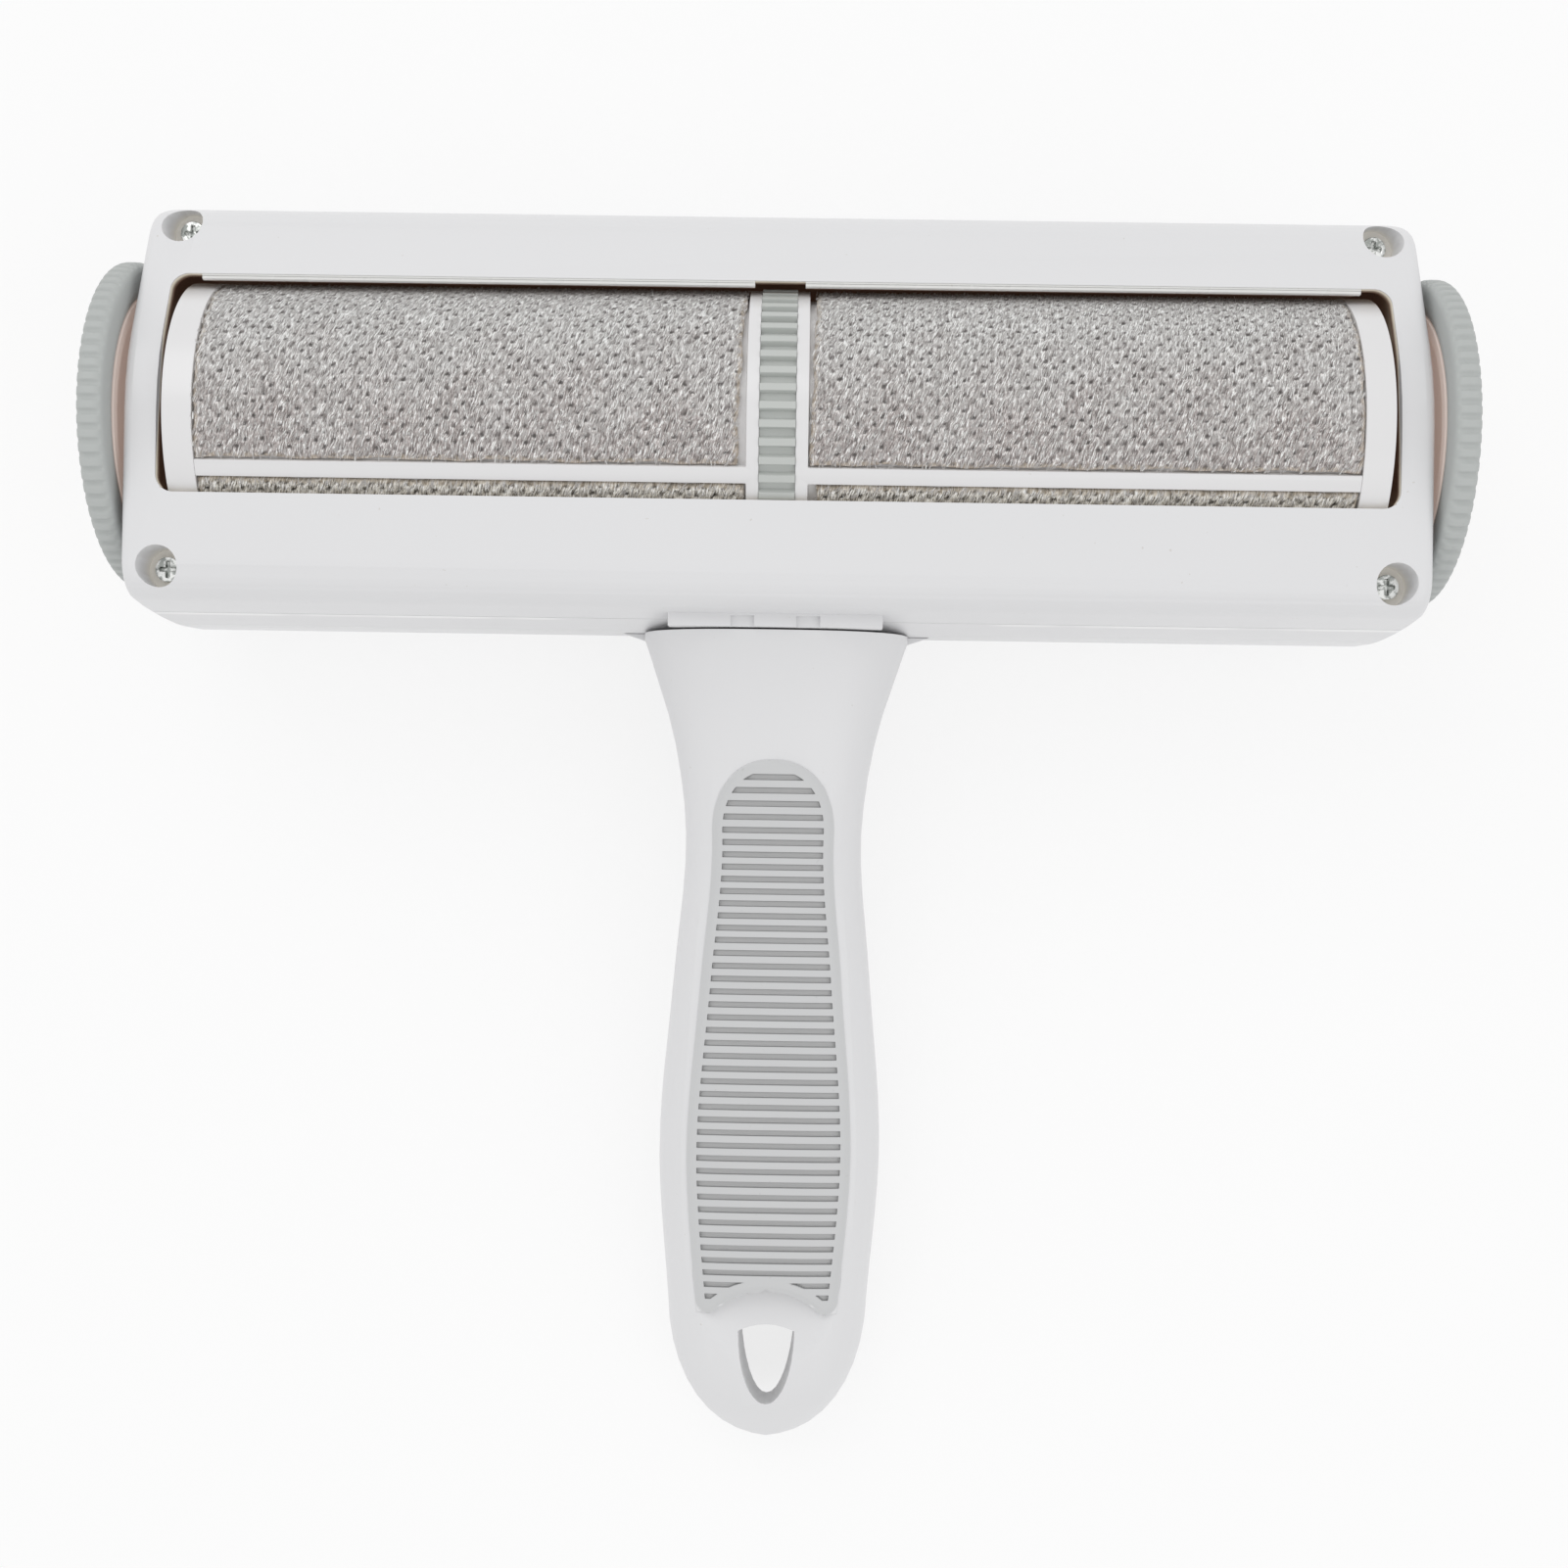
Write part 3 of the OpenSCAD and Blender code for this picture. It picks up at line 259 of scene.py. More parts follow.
# %% Grey rubbers
def rubbery(name, slot, colour, roughness=0.55):
    finish = Finish(name, slot, colour, roughness, IOR=1.46)
    cloud = finish.noise(60, 3)
    fleck = finish.noise(900, 2).above(0.7, 0.8)
    tone = finish.mix(cloud * 0.6, colour, dimmed(colour, 0.93))
    finish.feed("Base Color", finish.mix(fleck * 0.2, tone, (0.3, 0.3, 0.28)))
    wear(finish, roughness, 0.14, 220)
    finish.bump(finish.noise(1800, 3), 0.00003, 0.5)
    return finish


def pad_rubber():
    """Grey rubber with painted shade on a groove's floor and darker painted shade on its walls, turning to
    shell white outside the pad's outline.
    """
    finish = rubbery("grip_soft", "grip", (0.6, 0.605, 0.61), 0.5)
    tone = Wire(finish, finish.shader.inputs["Base Color"].links[0].from_socket)
    groove = finish.attribute("groove")
    soft = finish.attribute("soft")
    # Painted shade: the groove's floor is darker and its walls darker still.
    floor = finish.mix(groove.above(0.7, 1) * 0.8, tone, (0.5, 0.5, 0.5))
    wall = finish.mix((groove * (1 - groove) * 4).above(0.1, 1) * 0.75, floor, (0.16, 0.16, 0.16))
    finish.feed("Base Color", finish.mix(soft, SHELL_WHITE, wall))
    return finish


grip_soft = pad_rubber()
tyre_grey = rubbery("tyre_grey", "grey_rubber", (0.47, 0.49, 0.48))
ring_grey = rubbery("ring_grey", "grey_rubber", (0.53, 0.55, 0.53), 0.42)
button_grey = rubbery("button_grey", "button", (0.47, 0.49, 0.48), 0.45)
print("grey rubbers:", grip_soft.material.name, tyre_grey.material.name)

# %% [markdown]
# Screws, axle, pins and spring are steel with a zinc coat: a pale metal whose roughness is streaked.

# %% Zinc-coated steel
steel = Finish("zinc_steel", "steel", (0.7, 0.7, 0.68), 0.3, Metallic=1.0)
steel.feed("Roughness", steel.noise(900, 4) * 0.3 + 0.14)
coat = steel.noise(1100, 2).above(0.42, 0.6)
steel.feed("Base Color", steel.mix(coat, (0.95, 0.96, 0.94), (0.4, 0.42, 0.4)))
steel.bump(steel.noise(3000, 2), 0.00003, 0.6)
print("steel:", steel.material.name)

# %% [markdown]
# The lint cloth is the piece that the eye goes to. It is woven so that plump pads of glossy thread
# stand between small dark holes, and every other row is shifted by half a step. A picture could be
# wrapped round the drum, but then nothing would catch the light, so the pads are real relief in the
# mesh and the single threads are a pattern on the cloth's own map, which is laid out in millimetres.

# %% The weave's measures
WEAVE_STEP = 2.61
WEAVE_ROW = 1.13
WEAVE_RELIEF = 0.26
THREAD_LEAN = math.radians(74)


def weave(u, v):
    """1 on the pads and -1 in the holes: cosine along the row times cosine across the rows."""
    return np.cos(2 * np.pi * u / WEAVE_STEP) * np.cos(np.pi * v / WEAVE_ROW)


print("pads per square centimetre:", round(100 / (WEAVE_STEP * WEAVE_ROW), 1))

# %% [markdown]
# The thread pattern is a noise that is stretched along the threads' lean: about 0.15 mm across and
# 1.2 mm along. Where it is high a painted highlight makes a thread shine, where it is low painted
# shade lies between two threads. Painted shade in the holes and beside them, and a painted
# highlight on the lip below each hole, come from the same two cosines as the relief, so that they
# always meet it.

# %% Lint cloth
def lint_cloth(name, light, dark, hollow):
    finish = Finish(name, "lint_fabric", light, 0.6, Sheen_Weight=0.2, Sheen_Roughness=0.4)
    uv = finish.add("ShaderNodeUVMap", {"uv_map": "cloth_mm"})
    drift = finish.noise(0.35, 2, vector=uv)
    u = finish.part(uv, 0) + (drift - 0.5)
    v = finish.part(uv, 1) + (finish.noise(0.5, 2, vector=uv) - 0.5) * 0.5
    along = u * math.cos(THREAD_LEAN) - v * math.sin(THREAD_LEAN)
    across = v * math.cos(THREAD_LEAN) + u * math.sin(THREAD_LEAN)
    threads = finish.add("ShaderNodeCombineXYZ", {}, {0: along * 0.8, 1: across * 5.5, 2: drift * 4})
    thread = finish.noise(1.0, 3, 0.62, vector=threads)
    slant = finish.add("ShaderNodeMath", {"operation": "WRAP"}, {0: v, 1: WEAVE_ROW / 2, 2: -WEAVE_ROW / 2})
    row = ((u + slant * 0.4) * (2 * math.pi / WEAVE_STEP)).math("COSINE")
    pads = row * (v * (math.pi / WEAVE_ROW)).math("COSINE")
    shaded = row * ((v + 0.3) * (math.pi / WEAVE_ROW)).math("COSINE")
    below = row * ((v - 0.42) * (math.pi / WEAVE_ROW)).math("COSINE")
    patch = finish.noise(1.1, 2, vector=uv)
    some = patch.above(0.35, 0.68)
    hole = (pads * -1 + (patch - 0.5) * 1.3).above(0.35, 1.1)
    # Random tone, plus painted shade that darkens the cloth a little along the drum's turn.
    patchy_tone_and_shade = (finish.noise(0.12, 2, vector=uv) - 0.5) * 1.4 + finish.part(uv, 1) * 0.05 - 0.5
    tone = finish.mix(patchy_tone_and_shade, light, dark)
    # Painted shade beside each hole.
    shade = finish.mix((shaded * -1).above(0.1, 1.1) * (some * 0.5 + 0.4), tone, hollow)
    lined = finish.mix((1 - thread).above(0.48, 0.64) * 0.95, shade, dimmed(hollow, 0.75))
    shine = finish.mix(thread.above(0.52, 0.63), lined, (0.98, 0.98, 0.97))
    # Painted shade in the holes.
    dotted = finish.mix(hole * (some * 0.65 + 0.3), shine, dimmed(hollow, 0.35))
    # Painted highlight on the lip below each hole.
    dash = (below * -1).above(0.72, 0.95) * thread.above(0.4, 0.55) * some
    lit = finish.mix(dash * 0.85, dotted, (0.9, 0.86, 0.84))
    rim = finish.attribute("rim_mm")
    glue = 1 - (rim + (finish.noise(1.3, 3, vector=uv) - 0.5) * 2.6).above(0.0, 0.9)
    finish.feed("Base Color", finish.mix(glue * 0.55, lit, (0.56, 0.47, 0.36)))
    finish.feed("Roughness", 0.75 - thread.above(0.5, 0.75) * 0.42)
    finish.bump(thread * 0.75 + pads * 0.25, 0.00025, 0.9)
    return finish


front_lint = lint_cloth("lint_cloth", (0.675, 0.67, 0.66), (0.47, 0.42, 0.405), (0.21, 0.187, 0.178))
# The rear panels' cloth has yellower tones and near-black hollows, painted as deep shade.
rear_lint_painted_shade = lint_cloth("used_lint_cloth", (0.7, 0.665, 0.6), (0.5, 0.46, 0.41), (0.06, 0.048, 0.036))
print("cloth finish nodes:", len(front_lint.tree.nodes))

# %% [markdown]
# Over the cloth stand loose filaments: the stiff glossy hairs that catch the lint. They all lean
# one way. Most are the grey of the cloth, and a few are clear and flash white in the light.

# %% Filament finishes
def filament(name, colour, roughness):
    finish = Finish(name, "lint_fabric", colour, roughness, IOR=1.5)
    tone = finish.noise(420, 2)
    finish.feed("Base Color", finish.mix(tone.above(0.3, 0.7), colour, dimmed(colour, 0.82)))
    return finish


grey_filament = filament("grey_filament", (0.52, 0.5, 0.49), 0.45)
clear_filament = filament("clear_filament", (0.86, 0.86, 0.84), 0.25)
print("filament finishes:", grey_filament.material.name, clear_filament.material.name)

# %% [markdown]
# A mesh that is worked out as arrays goes into Blender in one call. Its piece takes the finish and
# the body that it moves with.

# %% From arrays to a piece
def piece(name, points, faces, finish, body, replaces=()):
    """points in millimetres from the drum axis, faces as rows of point numbers."""
    mesh = bpy.data.meshes.new(name)
    mesh.from_pydata((np.asarray(points) * MM + AXIS).tolist(), [], [list(face) for face in faces])
    mesh.polygons.foreach_set("use_smooth", np.ones(len(mesh.polygons), bool))
    mesh.materials.append(finish.material)
    thing = bpy.data.objects.new(name, mesh)
    bpy.context.scene.collection.objects.link(thing)
    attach(thing, body)
    if replaces:
        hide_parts(*replaces)
    return thing


def grid_faces(rows, columns, closed_rows=False, closed_columns=False):
    """Squares between neighbouring points of a grid; a closed side joins its last line to its first."""
    numbers = np.arange(rows * columns).reshape(rows, columns)
    if closed_rows:
        numbers = np.vstack([numbers, numbers[:1]])
    if closed_columns:
        numbers = np.hstack([numbers, numbers[:, :1]])
    square = (numbers[:-1, :-1], numbers[:-1, 1:], numbers[1:, 1:], numbers[1:, :-1])
    return np.stack([corner.ravel() for corner in square], axis=1)


def node_points(node):
    """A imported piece's points in millimetres from the drum axis."""
    mesh = NODES[node].data
    flat = np.empty(len(mesh.vertices) * 3)
    mesh.vertices.foreach_get("co", flat)
    return (flat.reshape(-1, 3) - AXIS) / MM


print("first panel's points:", len(node_points("left_front_panel")))

# %% [markdown]
# Each panel is a piece of a cylinder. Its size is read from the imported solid: the radius, the ends
# along the drum, and the angle that it spans. The edges are a little wavy, as scissors leave them, and the
# front panels were glued on a little askew: beside the toothed ring they slip by 1 mm.

# %% Cloth panels
PANEL_GRAIN = 0.33


def ring_span(node):
    """Inner and outer radius, middle angle and half span of a piece that lies on the drum."""
    place = node_points(node)
    radius = np.hypot(place[:, 1], place[:, 2])
    angle = np.arctan2(-place[:, 1], place[:, 2])
    middle = math.atan2(np.sin(angle).mean(), np.cos(angle).mean())
    off = (angle - middle + np.pi) % (2 * np.pi) - np.pi
    return radius.min(), radius.max(), middle, off.max()


def slip_of(node, u, v, length, width):
    """Shift along the drum: 0 in the upper part, then growing to 1 mm at the toothed ring's end."""
    inwards = u if "left" in node else length - u
    return np.clip((v / width + 0.05) / 0.55, 0, 1) * inwards / length * ("front" in node)


def cloth_panel(node, seed):
    """Point (u, a) lies at the radius plus the weave's relief, at angle a round the drum axis.
    Over the last 0.5 mm to its rim the cloth thins to 0.72 of its height."""
    inner, outer, middle, half = ring_span(node)
    place = node_points(node)
    low, high = place[:, 0].min(), place[:, 0].max()
    columns = int((high - low) / PANEL_GRAIN)
    rows = int(2 * half * outer / PANEL_GRAIN)
    u, a = np.meshgrid(np.linspace(0, high - low, columns), np.linspace(-half, half, rows))
    v = a * outer
    rim = np.minimum(np.minimum(u, high - low - u), np.minimum(v + half * outer, half * outer - v))
    soft = np.clip(rim / 0.5, 0, 1) ** 0.5
    dice = np.random.default_rng(seed)
    phase = dice.uniform(0, 6.28, 6)
    wave = 0.12 * (np.sin(u / 3.1 + phase[0]) + np.sin(u / 1.3 + phase[1])) / outer
    ripple = 0.1 * (np.sin(v / 2.3 + phase[2]) + np.sin(v / 1.1 + phase[3]))
    near_side = np.exp(-np.minimum(u, high - low - u) / 1.2) * np.sign(u - (high - low) / 2)
    near_edge = np.exp(-(half * outer - np.abs(v)) / 1.2) * np.sign(v)
    relief = WEAVE_RELIEF * (0.5 + 0.5 * weave(u, v)) ** 0.6 - WEAVE_RELIEF
    radius = inner + (outer - inner + relief) * (0.72 + 0.28 * soft)
    slip = slip_of(node, u, v, high - low, 2 * half * outer)
    x = low + u - near_side * (0.02 + ripple) - slip
    turn = middle + a - near_edge * (0.1 / outer + wave)
    skin = np.stack([x, -radius * np.sin(turn), radius * np.cos(turn)], axis=-1)
    ring = np.vstack([skin[0, :-1], skin[:-1, -1], skin[-1, :0:-1], skin[:0:-1, 0]])
    foot = ring.copy()
    foot[:, 1:] *= (inner / np.hypot(ring[:, 1], ring[:, 2]))[:, None]
    numbers = np.arange(rows * columns).reshape(rows, columns)
    edge = np.hstack([numbers[0, :-1], numbers[:-1, -1], numbers[-1, :0:-1], numbers[:0:-1, 0]])
    below = np.arange(len(edge)) + rows * columns
    wall = np.stack([edge, np.roll(edge, -1), np.roll(below, -1), below], axis=1)
    seen = rear_lint_painted_shade if "rear" in node else front_lint
    thing = piece(node + "_cloth", np.vstack([skin.reshape(-1, 3), foot]),
                  np.vstack([grid_faces(rows, columns)[:, ::-1], wall]).tolist(), seen, "drum", (node,))
    map_cloth(thing, np.hstack([u.ravel(), u.ravel()[edge]]), np.hstack([v.ravel(), v.ravel()[edge]]),
              np.hstack([rim.ravel(), np.zeros(len(edge))]), seed)
    return thing


def map_cloth(thing, u, v, rim, seed):
    """Writes the millimetre map and the distance to the rim; the seed is not used."""
    mesh = thing.data
    corner = np.empty(len(mesh.loops), int)
    mesh.loops.foreach_get("vertex_index", corner)
    layer = mesh.uv_layers.new(name="cloth_mm")
    layer.data.foreach_set("uv", np.stack([u, v], axis=1)[corner].ravel())
    mesh.attributes.new("rim_mm", "FLOAT", "POINT").data.foreach_set("value", rim)


PANELS = ["left_front_panel", "left_rear_panel", "right_front_panel", "right_rear_panel"]
CLOTHS = {node: cloth_panel(node, number + 5) for number, node in enumerate(PANELS)}
for cloth in CLOTHS.values():
    print(cloth.name, "faces", len(cloth.data.polygons))

# %% [markdown]
# Each filament is a strip of two squares that rises from its pad, bows over and points along the
# lean. All strips of a panel are worked out at once: three stations along each, two sides, and a
# random number for its start, its length, its lean and how far it lifts.

# %% Filaments on the cloth
def filaments(node, name, finish, seed, per_pad, share, width, lift):
    """Station k of a strip lies at start + k * length along its lean, at radius + lift * bow(k)."""
    inner, outer, middle, half = ring_span(node)
    place = node_points(node)
    low, high = place[:, 0].min(), place[:, 0].max()
    dice = np.random.default_rng(seed)
    columns = np.arange(0, high - low, WEAVE_STEP / 2)
    rows = np.arange(-half * outer, half * outer, WEAVE_ROW)
    u, v = [axis.ravel() for axis in np.meshgrid(columns, np.round(rows / WEAVE_ROW) * WEAVE_ROW)]
    keep = (np.round(u / WEAVE_STEP * 2) + np.round(v / WEAVE_ROW)) % 2 == 0
    u, v = [np.repeat(axis[keep], per_pad) for axis in (u, v)]
    chosen = dice.uniform(size=len(u)) < share
    u, v = u[chosen], v[chosen]
    count = len(u)
    u = u + dice.normal(0, 0.42, count)
    v = v + dice.uniform(0.0, 0.75, count)
    length = dice.uniform(0.5, 1.25, count)
    lean = THREAD_LEAN + dice.normal(0, 0.3, count)
    step = np.array([0, 0.55, 1.0])
    bow = np.array([-0.12, 0.6, 0.75])
    high_off = bow[None, :] * lift * dice.uniform(0.3, 1.5, count)[:, None]
    across = np.array([-0.5, 0.5])
    along_u = (np.cos(lean) * length)[:, None] * step
    along_v = (-np.sin(lean) * length)[:, None] * step
    half_width = width * dice.uniform(0.6, 1.3, count)
    taper = np.array([1.0, 0.9, 0.45])
    side_u = (np.sin(lean) * half_width)[:, None, None] * across * taper[:, None]
    side_v = (np.cos(lean) * half_width)[:, None, None] * across * taper[:, None]
    uu = np.clip(u[:, None, None] + along_u[:, :, None] + side_u, -0.25, high - low + 0.25)
    vv = np.clip(v[:, None, None] + along_v[:, :, None] + side_v, -half * outer - 0.25, half * outer + 0.25)
    radius = outer - 0.02 + high_off[:, :, None] + np.zeros_like(uu)
    turn = middle + vv / outer
    x = low + uu - slip_of(node, uu, vv, high - low, 2 * half * outer)
    points = np.stack([x, -radius * np.sin(turn), radius * np.cos(turn)], axis=-1).reshape(-1, 3)
    strip = np.array([[0, 1, 3, 2], [2, 3, 5, 4]])
    faces = (np.arange(count) * 6)[:, None, None] + strip[None]
    return piece(name, points, faces.reshape(-1, 4).tolist(), finish, "drum")


for number, node in enumerate(PANELS):
    hairs = filaments(node, node + "_filaments", grey_filament, 40 + number, 7, 1, 0.11, 0.22)
    flashes = filaments(node, node + "_clear_filaments", clear_filament, 60 + number, 1, 0.5, 0.13, 0.3)
    inner, outer, middle, half = ring_span(node)
    reach = np.ptp(node_points(node)[:, 0])
    flat = (float(reach * MM), float(2 * half * outer * MM))
    print(hairs.name, len(hairs.data.polygons), "strips' squares, sheet", [round(v, 4) for v in flat])

# %% [markdown]
# The tyres are pushed on the hubs. Their tread has 75 broad flat ridges with soft grooves between
# them; the side next to the head is smooth and round. One closed outline is carried round the axle,
# and on the tread its radius dips at every groove.

# %% Knurled tyres
RIDGES = 75
POINTS_PER_RIDGE = 12
GROOVE_DIP = 0.38
OUTER_ROUND = 1.3
INNER_ROUND = 1.5
BORE_EDGE = 0.25


def shoulder(across, tread, r, turn):
    """Quarter circle of radius r under the tread: across + r * cos(t), tread - r + r * sin(t)."""
    return [(across + r * math.cos(t), tread - r + r * math.sin(t)) for t in turn]


def tyre_outline(half_width, bore, tread):
    """Closed outline (across, radius): flat bore, two rounded shoulders, flat tread."""
    near, far = half_width - OUTER_ROUND, -half_width + INNER_ROUND
    outer_shoulder = shoulder(near, tread, OUTER_ROUND, np.linspace(0, np.pi / 2, 7))
    inner_shoulder = shoulder(far, tread, INNER_ROUND, np.linspace(np.pi / 2, np.pi, 7))
    middle = [(x, tread) for x in np.linspace(near, far, 6)[1:-1]]
    side = [(-half_width, bore + (tread - INNER_ROUND - bore) * k) for k in (0.7, 0.35, 0.08)]
    edge = [(-half_width + BORE_EDGE, bore), (half_width - BORE_EDGE, bore), (half_width, bore + BORE_EDGE)]
    return np.array(outer_shoulder + middle + inner_shoulder + side + edge)


def knurled_tyre(node, body):
    """Radius of a point is its outline's radius less a smooth dip that repeats at every ridge."""
    place = node_points(node)
    middle = (place[:, 0].min() + place[:, 0].max()) / 2
    width = place[:, 0].max() - place[:, 0].min()
    radii = np.hypot(place[:, 1], place[:, 2])
    outline = tyre_outline(width / 2, radii.min(), radii.max())
    angle = np.linspace(0, 2 * np.pi, RIDGES * POINTS_PER_RIDGE, endpoint=False)
    dip = np.clip(np.cos(angle * RIDGES) * 1.2 + 0.05, 0, 1) ** 1.1
    across, radius = outline[:, 0], outline[:, 1]
    near_top = np.clip((radius - radii.max() + 2.2) / 1.6, 0, 1)
    on_tread = near_top * np.clip((across + width * 0.42) / 0.5, 0, 1)
    r = radius[None, :] - GROOVE_DIP * dip[:, None] * on_tread[None, :]
    side = np.sign(middle)
    x = np.broadcast_to(middle + side * across[None, :], r.shape)
    points = np.stack([x, -r * np.sin(angle)[:, None], r * np.cos(angle)[:, None]], axis=-1)
    faces = grid_faces(*r.shape, closed_rows=True, closed_columns=True)
    if side < 0:
        faces = faces[:, ::-1]
    return piece(node + "_knurl", points.reshape(-1, 3), faces.tolist(), tyre_grey, body, (node,))


for side in ("left", "right"):
    tyre = knurled_tyre(side + "_tyre", side + "_wheel")
    print(tyre.name, "faces", len(tyre.data.polygons))

# %% [markdown]
# The scraper's free edge fills the window's upper edge. Its profile is a short list of points across
# the edge, carried along the drum on both sides of the notch, and each end is closed by the profile.

# %% Scraper edge
EDGE_PROFILE = np.array([(21.38, 11.45), (20.75, 11.4), (20.6, 11.5), (20.58, 12.1), (20.72, 12.34),
                         (21.06, 12.42), (21.1, 12.25), (21.15, 12.46), (21.38, 12.52)])
EDGE_END = 87.9


def scraper_edge():
    """Points (x, y, z): one profile (y, z) repeated at the four ends of the two runs along x."""
    notch = np.abs(node_points("upper_wiper")[:, 0]).min()
    ends = np.array([-EDGE_END, -notch, notch, EDGE_END])
    count = len(EDGE_PROFILE)
    points = np.hstack([np.repeat(ends, count)[:, None], np.tile(EDGE_PROFILE, (4, 1))])
    loop = np.arange(count)
    beside = np.roll(loop, -1)
    faces = []
    for start in (0, 2 * count):
        faces += (np.stack([loop, beside, beside + count, loop + count], axis=1)[:, ::-1] + start).tolist()
        faces += [(loop + start).tolist(), (loop[::-1] + start + count).tolist()]
    return piece("upper_wiper_edge", points, faces, wiper_white, "housing", ("upper_wiper",))


edge = scraper_edge()
edge.data.set_sharp_from_angle(angle=math.radians(40))
print(edge.name, "faces", len(edge.data.polygons))

# %% [markdown]
# The handle is a loft. Its half width and its top follow two tables by distance from the drum axis,
# and its section is a superellipse of power 2.7. The same formula gives the height of any point of
# its front, so a soft pad can be laid on it without a gap.

# %% The handle's front as a formula
POWER = 2.7
WIDTHS = [(31.2, 24.5), (32.2, 21.0), (34.2, 20.3), (48.2, 16.1), (64.3, 14.2), (86.2, 16.0),
          (114.0, 18.2), (140.0, 16.6)]
TOPS = [(31.3, 11.2), (34.2, 9), (43.2, 4.8), (63.2, 0.6), (100, -1.6), (130, -4.6), (144.8, -9.4),
        (156.8, -14), (164.8, -21.8)]


def curve(table, x):
    """Cubic pieces through the table; the slope at a point is the chord between its neighbours."""
    place, height = np.array(table).T
    near = np.arange(len(place))
    low, high = np.maximum(near - 1, 0), np.minimum(near + 1, len(place) - 1)
    slope = (height[high] - height[low]) / (place[high] - place[low])
    i = np.clip(np.searchsorted(place, x, "right") - 1, 0, len(place) - 2)
    h = place[i + 1] - place[i]
    s = (x - place[i]) / h
    start = (2 * s**3 - 3 * s**2 + 1) * height[i] + (s**3 - 2 * s**2 + s) * h * slope[i]
    return start + (3 * s**2 - 2 * s**3) * height[i + 1] + (s**3 - s**2) * h * slope[i + 1]


def handle_front(x, a):
    """parting + rise * (1 - |x / half width| ^ POWER) ^ (1 / POWER)"""
    parting = -4.5 - 18.3 * (a - 31.3) / 133.5
    rise = curve(TOPS, a) - parting
    return parting + rise * np.clip(1 - np.abs(x / curve(WIDTHS, a)) ** POWER, 0, 1) ** (1 / POWER)


packed_top = node_points("handle_cover")[:, 2].max()
print("formula's top", round(float(handle_front(0.0, 31.31)), 2), "packed top", round(packed_top, 2), "mm")

# %% [markdown]
# The pad has 42 grooves. A signed distance says how deep a point lies inside a groove: the smallest
# of the distances to the groove's two long sides, to the line where the grooves end, and to the ring
# round the hang hole's dish. A smooth step of that distance is the groove, and painted shade darkens
# its floor and, more, its walls.

# %% Grip pad's measures
PAD_TOP = 51.0
PAD_ARCH = 11.4
PAD_END = 141.0
ARCH_POWER = 2.2
HOLE_AT = 147.75
HOLE_CLEAR = 11.1
GROOVES = np.interp(np.arange(42), [0, 4, 13, 28, 41], [53.78, 62.16, 79.62, 110.4, 137.62])
GROOVE_HALF = 0.5
GROOVE_DEPTH = 0.6
GROOVE_MARGIN = 1.65


def smooth(value):
    value = np.clip(value, 0, 1)
    return value * value * (3 - 2 * value)


def arch(a, inset):
    """Half width of the pad's outline, moved inwards: an arch of ARCH_POWER that runs into the sides."""
    margin = 4.55 + 0.55 * np.clip((a - 62) / 60, 0, 1)
    half = curve(WIDTHS, np.maximum(a, PAD_TOP + PAD_ARCH)) - margin - inset
    t = np.clip((a - PAD_TOP - inset) / (PAD_ARCH - inset), 0, 1)
    return half * (1 - (1 - t) ** ARCH_POWER) ** (1 / ARCH_POWER)


print("grooves:", len(GROOVES), "from", GROOVES[0], "to", GROOVES[-1], "mm")

# %% [markdown]
# The points stand in rows across the handle. They are close together where a wall or a rim has to be
# sharp, and far apart where the pad is plain.

# %% Grip pad's rows and columns
def pad_rows():
    """Distances of the rows from the drum axis: 14 rows for each groove, and a few at both ends."""
    first = PAD_TOP + np.array([0, 0.05, 0.15, 0.3, 0.5, 0.8, 1.2, 1.5])
    wall = np.array([-0.95, -0.75, -0.56, -0.49, -0.43, -0.35, -0.17, 0, 0.17, 0.35, 0.43, 0.49, 0.56, 0.75])
    last = [138.8, 139.2, 139.7, 140.2, 140.6, PAD_END]
    return np.concatenate([first, (GROOVES[:, None] + wall).ravel(), last])


def pad_columns(rows, outer, reach):
    """x = inner + (outer - inner) * spread: even steps over a groove, fine ones at its end, then the rim."""
    inner = np.sqrt(np.clip(HOLE_CLEAR ** 2 - (HOLE_AT - rows) ** 2, 0, None))
    share = np.clip((reach - inner) / np.maximum(outer - inner, 0.01), 0.3, 0.93)[:, None]
    fine = np.minimum(0.1 / np.maximum(outer - inner, 0.6), 0.03)[:, None]
    even = (share - 4 * fine) * np.linspace(0, 1, 26)
    at_end = share + fine * np.array([-2.6, -1.6, -0.8, 0, 0.8])
    rim = share + 2 * fine + (1 - share - 2 * fine) * np.array([0, 0.3, 0.55, 0.75, 0.9, 1])
    return inner[:, None] + (outer - inner)[:, None] * np.hstack([even, at_end, rim])


def pad_marks(x, flat, rows, outer, reach):
    """Distance inside the outline, and the share of groove and of soft pad at each point.
    Beside the hole the pad ends in two feet, each rounded by 1.95 mm."""
    lean = np.hypot(1, np.gradient(reach, rows))[:, None]
    to_side = np.abs(flat[:, :, None] - GROOVES).min(axis=2)
    hollow = np.minimum((reach[:, None] - x) / lean, GROOVE_HALF - to_side)
    hollow = np.minimum(hollow, np.hypot(x, flat - 147.7) - 13.15)
    inside = (outer[:, None] - x) / np.hypot(1, np.gradient(outer, rows))[:, None]
    inside = np.minimum(inside, np.hypot(x, flat - HOLE_AT) - HOLE_CLEAR)
    foot = 1.95 - np.hypot(x - 9.5, flat - 139.1)
    inside = np.where(flat > 139.1, np.minimum(inside, foot), inside)
    return inside, smooth(hollow / 0.16), smooth((inside + 0.05) / 0.12)


print("rows of points on the pad:", len(pad_rows()))

# %% [markdown]
# Half of the pad is a tube of points: its front and a foot inside the cover. The other half is its
# mirror image, and the points that meet on the middle line are merged.

